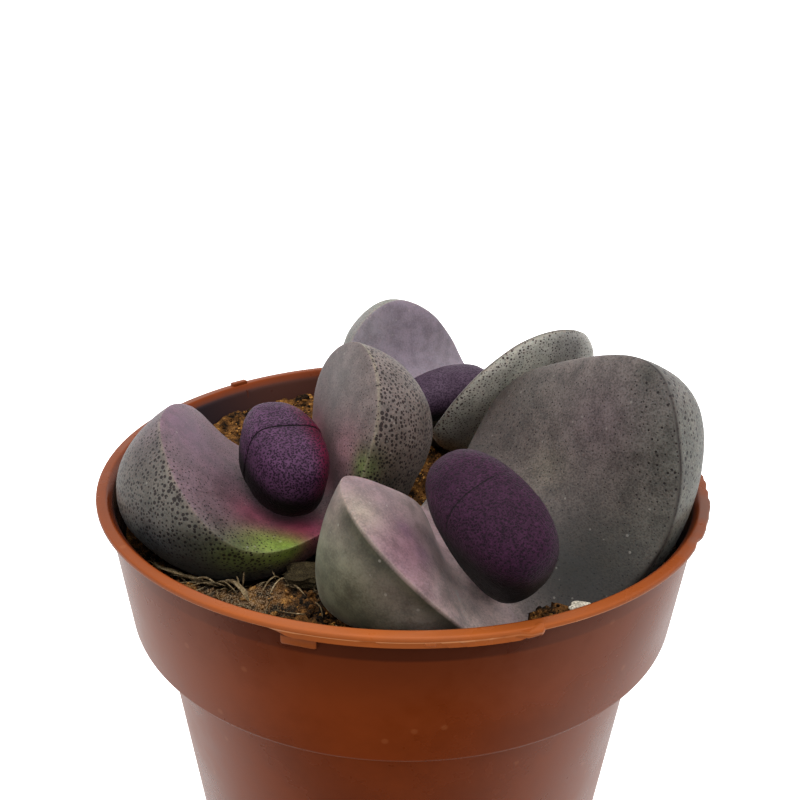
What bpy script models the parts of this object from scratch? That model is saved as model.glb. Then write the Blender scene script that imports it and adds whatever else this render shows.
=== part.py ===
"""A potted split rock: three heads of fused leaf pairs in a small nursery pot.

Units are metres with +Z up. The origin is at the middle of the pot's base.
Plan positions are measured from the pot's axis, heights of the plant from the rim.
"""
import math
from dataclasses import dataclass

import bmesh
import bpy
import numpy as np
from mathutils import Matrix, Vector, noise
from mathutils.bvhtree import BVHTree

MM = 0.001
GAP = 0.3 * MM
NOISE_SEED = 4

# Pot
POT_HEIGHT = 75.0 * MM
POT_STEPS = 48
LIP_RADIUS = 42.5 * MM
LIP_INNER_RADIUS = 41.1 * MM
LIP_HEIGHT = 0.65 * MM
COLLAR_TOP_RADIUS = 41.3 * MM
COLLAR_BOTTOM_RADIUS = 39.6 * MM
COLLAR_DEPTH = 18.8 * MM
BODY_TOP_RADIUS = 36.1 * MM
BODY_BASE_RADIUS = 30.2 * MM
WALL = 1.0 * MM
EDGE = 0.3 * MM
FOOT_WIDTH = 3.0 * MM
FOOT_RECESS = 1.4 * MM
FLOOR = 1.2 * MM
DRAIN_COUNT = 5
DRAIN_RADIUS = 3.2 * MM
DRAIN_CIRCLE = 17.0 * MM

# Moulding marks below and on the lip: angle round the pot, width, height, depth, height of centre
FRONT_TAB = (-103.0, 4.4 * MM, 1.6 * MM, 1.1 * MM, -2.6 * MM)
REAR_TAB = (135.0, 3.0 * MM, 0.9 * MM, 1.2 * MM, 0.0 * MM)
REAR_TAB_INSET = 0.7 * MM
TAB_EDGE = 0.2 * MM

# Soil
SOIL_LEVEL = -6.5 * MM
SOIL_RISE_TO_BACK = 0.05
SOIL_FALL_TO_RIGHT = 0.03
SOIL_GAP = 0.35 * MM
SOIL_HEADROOM = 1.5 * MM
SOIL_CELLS = 38
SOIL_MOUND = (16.5 * MM, -32.5 * MM, 5.2 * MM, 6.5 * MM)   # middle in plan, height, spread
SOIL_CLODS = ((0.8 * MM, 7.0 * MM), (0.45 * MM, 3.6 * MM))
SEAT_GAP = 0.55 * MM
SEAT_REACH = 2.2 * MM

# Leaves
LEAF_SIDES = 24
LEAF_RINGS = 34
CROWN = 0.10
SPINE_STEPS = 200
SHIFT_REACH = 0.45                  # share of a leaf's length by which its base's shift has gone
YOUNG_SIDES = 24
YOUNG_RINGS = 14
YOUNG_SQUARENESS = 2.3
FISSURE_DEPTH = 0.45 * MM
FISSURE_WIDTH = 0.7 * MM
FISSURE_FOOT = -0.9                 # latitude where the fissure has faded out, in radians

# Taproots
ROOT_SIDES = 16
ROOT_LENGTH = 22.0 * MM
ROOT_TOP_RADIUS = 3.2 * MM
ROOT_TIP_RADIUS = 1.0 * MM
ROOT_HEADROOM = 3.0 * MM

# Dry fibres, bark chip and pumice grain
FIBRE_RADIUS = 0.42 * MM
FIBRE_SPACING = 1.6 * MM
CHIP_SIZE = (6.2 * MM, 3.2 * MM, 1.2 * MM)
CHIP_PLACE = (-11.2 * MM, -22.0 * MM)
CHIP_TURN = 12.0
CHIP_ROUGHNESS = (3.0, 0.16)        # spread and size of its bumps, in chip lengths
CHIP_REACH = 0.55                   # radius of the ground that it lies over, in chip lengths
GRAIN_RADIUS = 1.35 * MM
GRAIN_SHAPE = (1.15, 0.85, 0.8)
GRAIN_ROUGHNESS = (1.6, 0.22)       # spread and size of its pits, in grain radii
GRAIN_PLACE = (20.2 * MM, -31.9 * MM)


@dataclass(frozen=True)
class Leaf:
    """One grown leaf, from the base that it shares with its twin to its tip."""

    length: float
    lean: float            # degrees that it stands up from level
    lean_by: float         # share of the length over which it rises
    arch: float            # further degrees of curve, spread over the whole length
    turn: float            # degrees that it swings round the upright
    roll: float            # degrees that it rolls about its own length
    half_width: float
    widest: float          # share of the length where it is widest
    depth: float           # from the flat inner face to the back
    deepest: float         # share of the length where it is deepest
    margin_tip: float = 2.0   # larger is blunter, seen on the face
    back_tip: float = 2.0     # larger is blunter, seen from the side
    lopsided: float = 0.0     # share by which one side of the back is fuller


@dataclass(frozen=True)
class Head:
    """A pair of leaves fused at the base, with the young pair between them."""

    name: str
    base: tuple            # middle of the fissure's floor, from the rim
    heading: float         # degrees, the first leaf's direction in plan
    base_half_width: float
    base_depth: float
    base_roll: float       # degrees that the fissure's floor tips over to one side
    base_shift: float      # how far the fissure's floor lies off the leaves' middle lines
    first: Leaf
    second: Leaf
    young_place: tuple     # middle of the young pair, from the rim
    young_size: tuple      # half sizes along the fissure's plane, across it, and up
    young_turn: tuple      # degrees: heading, tilt along, tilt across
    young_taper: float     # share by which the top is wider than the foot
    young_boxiness: float  # 2 is round seen from the side, larger is fuller at top and foot


HEADS = (
    Head(
        name="left_head",
        base=(-14.6 * MM, -5.8 * MM, -3.3 * MM),
        heading=19.0,
        base_half_width=12.3 * MM,
        base_depth=7.0 * MM,
        base_roll=0.0,
        base_shift=0.0,
        first=Leaf(
            length=24.7 * MM, lean=84.0, lean_by=0.30, arch=-13.0, turn=5.0, roll=-6.0,
            half_width=10.8 * MM, widest=0.49, depth=13.7 * MM, deepest=0.51, margin_tip=1.85,
        ),
        second=Leaf(
            length=23.7 * MM, lean=52.0, lean_by=0.67, arch=4.0, turn=2.0, roll=13.0,
            half_width=15.7 * MM, widest=0.43, depth=12.1 * MM, deepest=0.66, margin_tip=1.8,
        ),
        young_place=(-16.0 * MM, -9.8 * MM, 3.9 * MM),
        young_size=(5.25 * MM, 8.95 * MM, 5.25 * MM),
        young_turn=(24.8, 8.3, -12.1),
        young_taper=0.0,
        young_boxiness=3.4,
    ),
    Head(
        name="right_head",
        base=(9.3 * MM, -24.8 * MM, -4.2 * MM),
        heading=42.7,
        base_half_width=10.0 * MM,
        base_depth=2.5 * MM,
        base_roll=-27.0,
        base_shift=1.5 * MM,
        first=Leaf(
            length=35.7 * MM, lean=68.9, lean_by=0.77, arch=-10.1, turn=38.1, roll=50.2,
            half_width=16.8 * MM, widest=0.70, depth=14.0 * MM, deepest=0.61,
            margin_tip=3.16, back_tip=2.31, lopsided=0.47,
        ),
        second=Leaf(
            length=23.4 * MM, lean=76.2, lean_by=0.35, arch=-53.9, turn=-79.9, roll=-16.9,
            half_width=8.6 * MM, widest=0.34, depth=13.2 * MM, deepest=0.60,
            margin_tip=1.8, back_tip=1.89, lopsided=-0.04,
        ),
        young_place=(9.6 * MM, -30.9 * MM, 4.1 * MM),
        young_size=(4.35 * MM, 7.65 * MM, 9.5 * MM),
        young_turn=(35.5, -20.3, -16.9),
        young_taper=0.46,
        young_boxiness=2.6,
    ),
    Head(
        name="back_head",
        base=(9.4 * MM, 23.1 * MM, -2.3 * MM),
        heading=-40.0,
        base_half_width=5.4 * MM,
        base_depth=6.5 * MM,
        base_roll=0.0,
        base_shift=0.0,
        first=Leaf(
            length=27.9 * MM, lean=50.5, lean_by=0.30, arch=-4.5, turn=19.0, roll=28.5,
            half_width=15.1 * MM, widest=0.28, depth=4.5 * MM, deepest=0.52,
            margin_tip=2.15, back_tip=2.8, lopsided=-0.42,
        ),
        second=Leaf(
            length=26.1 * MM, lean=81.0, lean_by=0.81, arch=6.0, turn=5.5, roll=33.0,
            half_width=13.0 * MM, widest=0.32, depth=9.0 * MM, deepest=0.54,
            margin_tip=1.8, back_tip=2.3, lopsided=-0.22,
        ),
        young_place=(6.7 * MM, 19.4 * MM, 2.3 * MM),
        young_size=(5.0 * MM, 8.6 * MM, 3.9 * MM),
        young_turn=(-60.0, 2.5, -10.0),
        young_taper=0.18,
        young_boxiness=2.0,
    ),
)

# Plan routes of the fibres; each one meets another where they share a point
FIBRE_ROUTES = (
    ((-33.0, -19.0), (-30.2, -20.8), (-26.6, -23.1), (-23.4, -24.1), (-21.0, -25.2), (-19.0, -27.4)),
    ((-31.4, -21.8), (-30.2, -20.8), (-27.2, -24.4), (-23.6, -25.8)),
    ((-26.6, -23.1), (-24.8, -24.8), (-23.6, -25.8), (-20.6, -28.4), (-18.8, -31.0)),
    ((-21.0, -25.2), (-17.8, -24.4), (-15.6, -25.6), (-14.8, -28.0)),
)


def clear_scene():
    """Start from an empty scene."""
    for obj in list(bpy.data.objects):
        bpy.data.objects.remove(obj, do_unlink=True)


def new_collection(name):
    """Make a collection in the scene."""
    collection = bpy.data.collections.new(name)
    bpy.context.scene.collection.children.link(collection)
    return collection


def make_material(name, colour, roughness):
    """Make a plain finish from a linear colour and a roughness."""
    material = bpy.data.materials.new(name)
    material.use_nodes = True
    shader = material.node_tree.nodes["Principled BSDF"]
    shader.inputs["Base Color"].default_value = (*colour, 1.0)
    shader.inputs["Roughness"].default_value = roughness
    shader.inputs["Metallic"].default_value = 0.0
    return material


def face_outwards(bm):
    """Point every face of a closed body outwards."""
    bmesh.ops.recalc_face_normals(bm, faces=bm.faces)
    if bm.calc_volume(signed=True) < 0.0:
        bmesh.ops.reverse_faces(bm, faces=bm.faces)


def add_object(name, bm, collection, material):
    """Turn a bmesh into a smooth shaded object of the part."""
    mesh = bpy.data.meshes.new(name)
    bm.to_mesh(mesh)
    bm.free()
    mesh.shade_smooth()
    mesh.materials.append(material)
    obj = bpy.data.objects.new(name, mesh)
    collection.objects.link(obj)
    return obj


def add_cutter(name, bm, cutters):
    """Make a hidden guide object from a bmesh."""
    mesh = bpy.data.meshes.new(name)
    bm.to_mesh(mesh)
    bm.free()
    obj = bpy.data.objects.new(name, mesh)
    cutters.objects.link(obj)
    obj.hide_render = True
    obj.display_type = "WIRE"
    return obj


def add_boolean(obj, other, operation):
    """Combine an object with a guide."""
    modifier = obj.modifiers.new(other.name, "BOOLEAN")
    modifier.object = other
    modifier.operation = operation
    modifier.solver = "EXACT"


def turned(name, profile, cutters):
    """Turn a profile of radius and height points into a closed mesh about the Z axis."""
    bm = bmesh.new()
    verts = [bm.verts.new((radius, 0.0, height)) for radius, height in profile]
    for start, end in zip(verts, verts[1:]):
        bm.edges.new((start, end))
    obj = add_cutter(name, bm, cutters)
    screw = obj.modifiers.new("Turn", "SCREW")
    screw.steps = POT_STEPS
    screw.render_steps = POT_STEPS
    screw.use_merge_vertices = True
    screw.merge_threshold = 0.01 * MM
    return obj


def evaluated_bmesh(obj):
    """Read an object's mesh with its modifiers, as a new bmesh."""
    graph = bpy.context.evaluated_depsgraph_get()
    mesh = bpy.data.meshes.new_from_object(obj.evaluated_get(graph))
    bm = bmesh.new()
    bm.from_mesh(mesh)
    bpy.data.meshes.remove(mesh)
    return bm


def smooth(value):
    """Rise gently from 0 to 1."""
    value = np.clip(value, 0.0, 1.0)
    return value * value * (3.0 - 2.0 * value)


def swelling(along, base, peak, place, bluntness):
    """Size along a leaf: from the base out to the peak, then round to nothing at the tip."""
    if along < place:
        return base + (peak - base) * math.sin(math.pi / 2.0 * along / place)
    share = (along - place) / (1.0 - place)
    return peak * max(1.0 - share ** bluntness, 0.0) ** (1.0 / bluntness)


def leaf_spine(leaf, heading, base_roll, base_shift):
    """Angles, middle points and sideways shifts along a leaf's inner face, from its base."""
    along = np.linspace(0.0, 1.0, SPINE_STEPS)
    rise = math.radians(leaf.lean) * smooth(along / leaf.lean_by) + math.radians(leaf.arch) * along
    swing = heading + math.radians(leaf.turn) * smooth(along)
    roll = np.radians(base_roll + (leaf.roll - base_roll) * smooth(along))
    forward = np.stack((np.cos(rise) * np.cos(swing), np.cos(rise) * np.sin(swing), np.sin(rise)), 1)
    steps = (forward[1:] + forward[:-1]) / 2.0 * leaf.length / (SPINE_STEPS - 1)
    points = np.vstack((np.zeros((1, 3)), np.cumsum(steps, axis=0)))
    shift = base_shift * (1.0 - smooth(along / SHIFT_REACH))
    return along, rise, swing, roll, points, shift


def leaf_section(leaf, head, spine, along):
    """Middle, side direction, inner direction, half width, depth and fullness at one place."""
    steps, rise, swing, rolls, points, shifts = spine
    middle = Vector([np.interp(along, steps, points[:, axis]) for axis in range(3)])
    up = float(np.interp(along, steps, rise))
    round_z = float(np.interp(along, steps, swing))
    outward = Vector((math.cos(round_z), math.sin(round_z), 0.0))
    side = Vector((-math.sin(round_z), math.cos(round_z), 0.0))
    inner = Vector((0.0, 0.0, 1.0)) * math.cos(up) - outward * math.sin(up)
    roll = float(np.interp(along, steps, rolls))
    rolled_inner = inner * math.cos(roll) + side * math.sin(roll)
    rolled_side = side * math.cos(roll) - inner * math.sin(roll)
    width = swelling(along, head.base_half_width, leaf.half_width, leaf.widest, leaf.margin_tip)
    depth = swelling(along, head.base_depth, leaf.depth, leaf.deepest, leaf.back_tip)
    fullness = leaf.lopsided * float(smooth(along / 0.5))
    middle += rolled_side * float(np.interp(along, steps, shifts))
    return middle, rolled_side, rolled_inner, width, depth, fullness


def leaf_point(section, angle, along):
    """Point of a leaf's skin: the flat face for a negative sine, the round back for a positive."""
    middle, side, inner, width, depth, fullness = section
    across = math.cos(angle)
    bulge = math.sin(angle)
    if bulge > 0.0:
        height = -depth * bulge * (1.0 - fullness * across)
    else:
        height = -CROWN * (0.3 + 0.7 * float(smooth(along / 0.5))) * width * bulge
    return middle + side * (width * across) + inner * height


def leaf_pair(head):
    """Both leaves of a head as one closed body, bent from a ball with a pole at each tip."""
    bm = bmesh.new()
    bmesh.ops.create_uvsphere(bm, u_segments=LEAF_SIDES, v_segments=LEAF_RINGS, radius=1.0)
    heading = math.radians(head.heading)
    spines = (
        leaf_spine(head.first, heading, head.base_roll, head.base_shift),
        leaf_spine(head.second, heading + math.pi, -head.base_roll, -head.base_shift),
    )
    origin = Vector(head.base) + Vector((0.0, 0.0, POT_HEIGHT))
    for vert in bm.verts:
        latitude = math.asin(max(-1.0, min(1.0, vert.co.z)))
        longitude = math.atan2(vert.co.y, vert.co.x)
        along = 0.5 - 0.5 * math.cos(2.0 * abs(latitude))
        if latitude >= -1e-6:
            leaf, spine, angle = head.first, spines[0], longitude
        else:
            leaf, spine, angle = head.second, spines[1], math.pi - longitude
        vert.co = origin + leaf_point(leaf_section(leaf, head, spine, along), angle, along)
    face_outwards(bm)
    return bm


def squared(value, squareness):
    """Push a sine or cosine outwards, for a section that is fuller than an ellipse."""
    return math.copysign(abs(value) ** (2.0 / squareness), value)


def young_pair(head):
    """The young leaves as one closed body, with the fissure pressed in over the top."""
    bm = bmesh.new()
    bmesh.ops.create_uvsphere(bm, u_segments=YOUNG_SIDES, v_segments=YOUNG_RINGS, radius=1.0)
    half_along, half_across, half_height = head.young_size
    for vert in bm.verts:
        latitude = math.asin(max(-1.0, min(1.0, vert.co.z)))
        longitude = math.atan2(vert.co.y, vert.co.x)
        rise = squared(math.sin(latitude), head.young_boxiness)
        reach = squared(math.cos(latitude), head.young_boxiness) * (1.0 + head.young_taper * rise)
        point = Vector((
            half_along * squared(math.cos(longitude), YOUNG_SQUARENESS) * reach,
            half_across * squared(math.sin(longitude), YOUNG_SQUARENESS) * reach,
            half_height * rise,
        ))
        groove = math.exp(-(point.y / FISSURE_WIDTH) ** 2) * float(smooth(1.0 - latitude / FISSURE_FOOT))
        vert.co = point * (1.0 - groove * FISSURE_DEPTH / point.length)
    heading, tilt_along, tilt_across = (math.radians(angle) for angle in head.young_turn)
    turn = Matrix.Rotation(heading, 4, "Z")
    turn @= Matrix.Rotation(-tilt_across, 4, "X") @ Matrix.Rotation(tilt_along, 4, "Y")
    place = Matrix.Translation(Vector(head.young_place) + Vector((0.0, 0.0, POT_HEIGHT)))
    bmesh.ops.transform(bm, matrix=place @ turn, verts=bm.verts)
    face_outwards(bm)
    return bm


def taproot(head, top, spare=0.0, headroom=0.0):
    """A tapering root up to a height, or its hole's cutter with spare round it and headroom."""
    flare = (ROOT_TOP_RADIUS - ROOT_TIP_RADIUS) / ROOT_LENGTH
    length = ROOT_LENGTH + spare + headroom
    bm = bmesh.new()
    bmesh.ops.create_cone(
        bm,
        cap_ends=True,
        segments=ROOT_SIDES,
        radius1=ROOT_TIP_RADIUS + spare - flare * spare,
        radius2=ROOT_TOP_RADIUS + spare + flare * headroom,
        depth=length,
        matrix=Matrix.Translation((head.base[0], head.base[1], top + headroom - length / 2.0)),
    )
    return bm


def pot_profile():
    """Radius and height points of the pot's wall, from the inside floor over the lip to the foot."""
    collar_bottom = POT_HEIGHT - COLLAR_DEPTH
    lip_bottom = POT_HEIGHT - LIP_HEIGHT
    floor_top = FOOT_RECESS + FLOOR
    return (
        (0.0, floor_top),
        (BODY_BASE_RADIUS - WALL - EDGE, floor_top),
        (BODY_BASE_RADIUS - WALL, floor_top + 2 * EDGE),
        (BODY_TOP_RADIUS - WALL, collar_bottom + WALL - 2 * EDGE),
        (BODY_TOP_RADIUS - WALL + EDGE, collar_bottom + WALL),
        (COLLAR_BOTTOM_RADIUS - WALL - EDGE, collar_bottom + WALL),
        (COLLAR_BOTTOM_RADIUS - WALL, collar_bottom + WALL + 2 * EDGE),
        (COLLAR_TOP_RADIUS - WALL, lip_bottom - LIP_HEIGHT),
        (LIP_INNER_RADIUS, POT_HEIGHT - EDGE),
        (LIP_INNER_RADIUS + EDGE, POT_HEIGHT),
        (LIP_RADIUS - EDGE, POT_HEIGHT),
        (LIP_RADIUS, POT_HEIGHT - EDGE),
        (LIP_RADIUS, lip_bottom + EDGE / 2),
        (LIP_RADIUS - EDGE / 2, lip_bottom),
        (COLLAR_TOP_RADIUS, lip_bottom),
        (COLLAR_BOTTOM_RADIUS, collar_bottom + 2 * EDGE),
        (COLLAR_BOTTOM_RADIUS - EDGE, collar_bottom + EDGE / 2),
        (COLLAR_BOTTOM_RADIUS - 3 * EDGE, collar_bottom),
        (BODY_TOP_RADIUS + EDGE, collar_bottom),
        (BODY_TOP_RADIUS, collar_bottom - EDGE),
        (BODY_BASE_RADIUS, 2 * EDGE),
        (BODY_BASE_RADIUS - EDGE, 0.0),
        (BODY_BASE_RADIUS - FOOT_WIDTH, 0.0),
        (BODY_BASE_RADIUS - FOOT_WIDTH - EDGE, FOOT_RECESS),
        (0.0, FOOT_RECESS),
    )


def moulding_tab(name, size, radius, cutters):
    """A small block of plastic on the pot's wall or lip."""
    angle, width, height, depth, level = size
    bm = bmesh.new()
    bmesh.ops.create_cube(bm, size=1.0)
    bmesh.ops.scale(bm, vec=(depth, width, height), verts=bm.verts)
    bmesh.ops.bevel(
        bm, geom=list(bm.edges), offset=TAB_EDGE, segments=1, profile=0.5, affect="EDGES", material=-1,
    )
    place = Matrix.Rotation(math.radians(angle), 4, "Z")
    place @= Matrix.Translation((radius, 0.0, POT_HEIGHT + level))
    bmesh.ops.transform(bm, matrix=place, verts=bm.verts)
    return add_cutter(name, bm, cutters)


def build_pot(collection, cutters, material):
    """Turn the pot, drill its drainage holes and add its moulding tabs."""
    guide = turned("pot_turned", pot_profile(), cutters)
    pot = add_object("pot", evaluated_bmesh(guide), collection, material)
    for index in range(DRAIN_COUNT):
        angle = 2.0 * math.pi * index / DRAIN_COUNT + math.pi / 2.0
        centre = (DRAIN_CIRCLE * math.cos(angle), DRAIN_CIRCLE * math.sin(angle), FOOT_RECESS)
        bm = bmesh.new()
        bmesh.ops.create_cone(
            bm, cap_ends=True, segments=20, radius1=DRAIN_RADIUS, radius2=DRAIN_RADIUS,
            depth=4 * FLOOR, matrix=Matrix.Translation(centre),
        )
        add_boolean(pot, add_cutter(f"drain_{index + 1}", bm, cutters), "DIFFERENCE")
    front = moulding_tab("front_tab", FRONT_TAB, COLLAR_TOP_RADIUS, cutters)
    rear = moulding_tab("rear_tab", REAR_TAB, LIP_RADIUS - REAR_TAB_INSET, cutters)
    add_boolean(pot, front, "UNION")
    add_boolean(pot, rear, "UNION")
    return pot


def soil_profile():
    """Outline of the space that soil can fill inside the pot, from its top down."""
    collar_bottom = POT_HEIGHT - COLLAR_DEPTH + WALL + SOIL_GAP
    floor_top = FOOT_RECESS + FLOOR + SOIL_GAP
    inside = WALL + SOIL_GAP
    top = POT_HEIGHT - SOIL_HEADROOM
    return (
        (0.0, top),
        (COLLAR_TOP_RADIUS - inside, top),
        (COLLAR_BOTTOM_RADIUS - inside, collar_bottom + 2 * EDGE),
        (COLLAR_BOTTOM_RADIUS - inside - EDGE, collar_bottom),
        (BODY_TOP_RADIUS - inside, collar_bottom),
        (BODY_BASE_RADIUS - inside, floor_top + 2 * EDGE),
        (BODY_BASE_RADIUS - inside - EDGE, floor_top),
        (0.0, floor_top),
    )


def soil_height(x, y):
    """Height of the open soil's surface, with its clods."""
    height = POT_HEIGHT + SOIL_LEVEL + SOIL_RISE_TO_BACK * y - SOIL_FALL_TO_RIGHT * x
    mound_x, mound_y, mound_height, mound_spread = SOIL_MOUND
    away = math.hypot(x - mound_x, y - mound_y) / mound_spread
    height += mound_height * math.exp(-away ** 2)
    for size, spread in SOIL_CLODS:
        height += size * noise.noise(Vector((x / spread, y / spread, size / MM)))
    return height


def disc_points(x, y, reach):
    """Plan points of a small disc: its middle and two rings of eight."""
    points = [(x, y)]
    for spread in (reach / 2.0, reach):
        for turn in range(8):
            angle = turn * math.pi / 4.0
            points.append((x + spread * math.cos(angle), y + spread * math.sin(angle)))
    return points


def heights_met(tree, points, start_height, direction):
    """Heights at which upright rays from a set of plan points meet a surface."""
    upright = Vector((0.0, 0.0, direction))
    hits = [tree.ray_cast(Vector((*point, start_height)), upright)[0] for point in points]
    return [hit.z for hit in hits if hit is not None]


def underside(trees, x, y, reach):
    """Lowest height of the pieces above a place and just round it, or None."""
    points = disc_points(x, y, reach)
    heights = [height for tree in trees for height in heights_met(tree, points, 0.0, 1.0)]
    return min(heights, default=None)


def build_soil(collection, cutters, material, leaf_trees, root_tops):
    """A block with a cloddy top that dips under the leaves, trimmed to the inside of the pot."""
    bm = bmesh.new()
    bmesh.ops.create_grid(bm, x_segments=SOIL_CELLS, y_segments=SOIL_CELLS, size=LIP_RADIUS)
    for vert in bm.verts:
        height = soil_height(vert.co.x, vert.co.y)
        seat = underside(leaf_trees, vert.co.x, vert.co.y, SEAT_REACH)
        if seat is not None:
            height = min(height, seat - SEAT_GAP)
        vert.co.z = height
    skirt = bmesh.ops.extrude_face_region(bm, geom=list(bm.faces))
    for item in skirt["geom"]:
        if isinstance(item, bmesh.types.BMVert):
            item.co.z = -FLOOR
    face_outwards(bm)
    soil = add_object("soil", bm, collection, material)
    add_boolean(soil, turned("soil_space", soil_profile(), cutters), "INTERSECT")
    for head, top in zip(HEADS, root_tops):
        hole = add_cutter(f"{head.name}_root_hole", taproot(head, top, GAP, ROOT_HEADROOM), cutters)
        add_boolean(soil, hole, "DIFFERENCE")
    return soil


def rest_height(tree, x, y, reach):
    """Highest point of a surface under a small disc."""
    return max(heights_met(tree, disc_points(x, y, reach), 2.0 * POT_HEIGHT, -1.0))


def even_route(corners):
    """Points a step apart along the plan route through its corners."""
    route = []
    for start, end in zip(corners, corners[1:]):
        start, end = Vector(start) * MM, Vector(end) * MM
        count = max(1, round((end - start).length / FIBRE_SPACING))
        route += [start.lerp(end, index / count) for index in range(count)]
    route.append(Vector(corners[-1]) * MM)
    return route


def fibre_tube(name, corners, soil_tree, cutters):
    """One fibre lying on the soil, as a guide object with welded ends."""
    curve = bpy.data.curves.new(name, "CURVE")
    curve.dimensions = "3D"
    curve.bevel_depth = FIBRE_RADIUS
    curve.bevel_resolution = 1
    curve.use_fill_caps = True
    route = even_route(corners)
    spline = curve.splines.new("POLY")
    spline.points.add(len(route) - 1)
    for point, place in zip(spline.points, route):
        height = rest_height(soil_tree, place.x, place.y, FIBRE_SPACING) + FIBRE_RADIUS + GAP
        point.co = (place.x, place.y, height, 1.0)
    obj = bpy.data.objects.new(name, curve)
    cutters.objects.link(obj)
    bm = evaluated_bmesh(obj)
    bpy.data.objects.remove(obj, do_unlink=True)
    bmesh.ops.remove_doubles(bm, verts=bm.verts, dist=0.01 * MM)
    face_outwards(bm)
    return bm


def build_fibres(collection, cutters, material, soil_tree):
    """The tuft of dry fibres as one joined body."""
    name = "dry_fibres"
    first, *others = FIBRE_ROUTES
    fibres = add_object(name, fibre_tube(name, first, soil_tree, cutters), collection, material)
    for index, corners in enumerate(others):
        label = f"fibre_{index + 2}"
        branch = add_cutter(label, fibre_tube(label, corners, soil_tree, cutters), cutters)
        add_boolean(fibres, branch, "UNION")
    return fibres


def build_chip(collection, material, soil_tree):
    """A flat, rough chip of bark lying on the soil."""
    spread, size = CHIP_ROUGHNESS
    bm = bmesh.new()
    bmesh.ops.create_cube(bm, size=1.0)
    bmesh.ops.subdivide_edges(bm, edges=list(bm.edges), cuts=3, use_grid_fill=True)
    for vert in bm.verts:
        vert.co += noise.noise_vector(vert.co * spread) * size
    bmesh.ops.scale(bm, vec=CHIP_SIZE, verts=bm.verts)
    bmesh.ops.rotate(bm, matrix=Matrix.Rotation(math.radians(CHIP_TURN), 3, "Z"), verts=bm.verts)
    lowest = min(vert.co.z for vert in bm.verts)
    height = rest_height(soil_tree, *CHIP_PLACE, CHIP_SIZE[0] * CHIP_REACH) + GAP - lowest
    bmesh.ops.translate(bm, vec=(*CHIP_PLACE, height), verts=bm.verts)
    face_outwards(bm)
    return add_object("bark_chip", bm, collection, material)


def build_grain(collection, material, soil_tree):
    """A pale, pitted pumice grain on the soil."""
    spread, size = GRAIN_ROUGHNESS
    bm = bmesh.new()
    bmesh.ops.create_icosphere(bm, subdivisions=2, radius=GRAIN_RADIUS)
    for vert in bm.verts:
        vert.co *= 1.0 + size * noise.noise(vert.co / GRAIN_RADIUS * spread)
    bmesh.ops.scale(bm, vec=GRAIN_SHAPE, verts=bm.verts)
    lowest = min(vert.co.z for vert in bm.verts)
    height = rest_height(soil_tree, *GRAIN_PLACE, GRAIN_RADIUS) + GAP - lowest
    bmesh.ops.translate(bm, vec=(*GRAIN_PLACE, height), verts=bm.verts)
    return add_object("pumice_grain", bm, collection, material)


def build_heads(collection, leaf_material, young_material, root_material):
    """All three heads; gives back their leaves' surfaces and the heights of their roots' tops."""
    trees = []
    tops = []
    for head in HEADS:
        leaves = leaf_pair(head)
        tree = BVHTree.FromBMesh(leaves)
        top = underside([tree], head.base[0], head.base[1], ROOT_TOP_RADIUS) - SEAT_GAP
        add_object(f"{head.name}_leaves", leaves, collection, leaf_material)
        add_object(f"{head.name}_young_leaves", young_pair(head), collection, young_material)
        add_object(f"{head.name}_taproot", taproot(head, top), collection, root_material)
        trees.append(tree)
        tops.append(top)
    return trees, tops


def main():
    """Build the plant, then the soil that it sits in and what lies on the soil."""
    noise.seed_set(NOISE_SEED)
    clear_scene()
    collection = new_collection("potted_split_rock")
    cutters = new_collection("cutters")
    plastic = make_material("terracotta_plastic", (0.33, 0.10, 0.045), 0.38)
    leaf = make_material("grey_mauve_leaf", (0.16, 0.13, 0.13), 0.55)
    young = make_material("purple_young_leaf", (0.055, 0.018, 0.055), 0.5)
    root = make_material("pale_root", (0.32, 0.22, 0.13), 0.8)
    earth = make_material("potting_soil", (0.12, 0.06, 0.025), 0.95)
    straw = make_material("dry_straw", (0.45, 0.33, 0.19), 0.8)
    bark = make_material("bark", (0.16, 0.11, 0.07), 0.9)
    pumice = make_material("pumice", (0.6, 0.57, 0.5), 0.9)
    build_pot(collection, cutters, plastic)
    leaf_trees, root_tops = build_heads(collection, leaf, young, root)
    soil = build_soil(collection, cutters, earth, leaf_trees, root_tops)
    soil_bm = evaluated_bmesh(soil)
    soil_tree = BVHTree.FromBMesh(soil_bm)
    soil_bm.free()
    build_fibres(collection, cutters, straw, soil_tree)
    build_chip(collection, bark, soil_tree)
    build_grain(collection, pumice, soil_tree)


main()
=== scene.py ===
"""The looks of a potted split rock: dotted stone-like leaves, crumbly soil and a moulded nursery pot.

Units are metres with +Z up. The origin is at the middle of the pot's base. Plan positions of the plant are
measured from the pot's axis and its heights from the rim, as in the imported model.
"""

import logging
import math
import random
from dataclasses import dataclass
from enum import Enum

import bmesh
import bpy
import numpy as np
from mathutils import Matrix, Vector, noise
from mathutils.bvhtree import BVHTree


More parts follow.
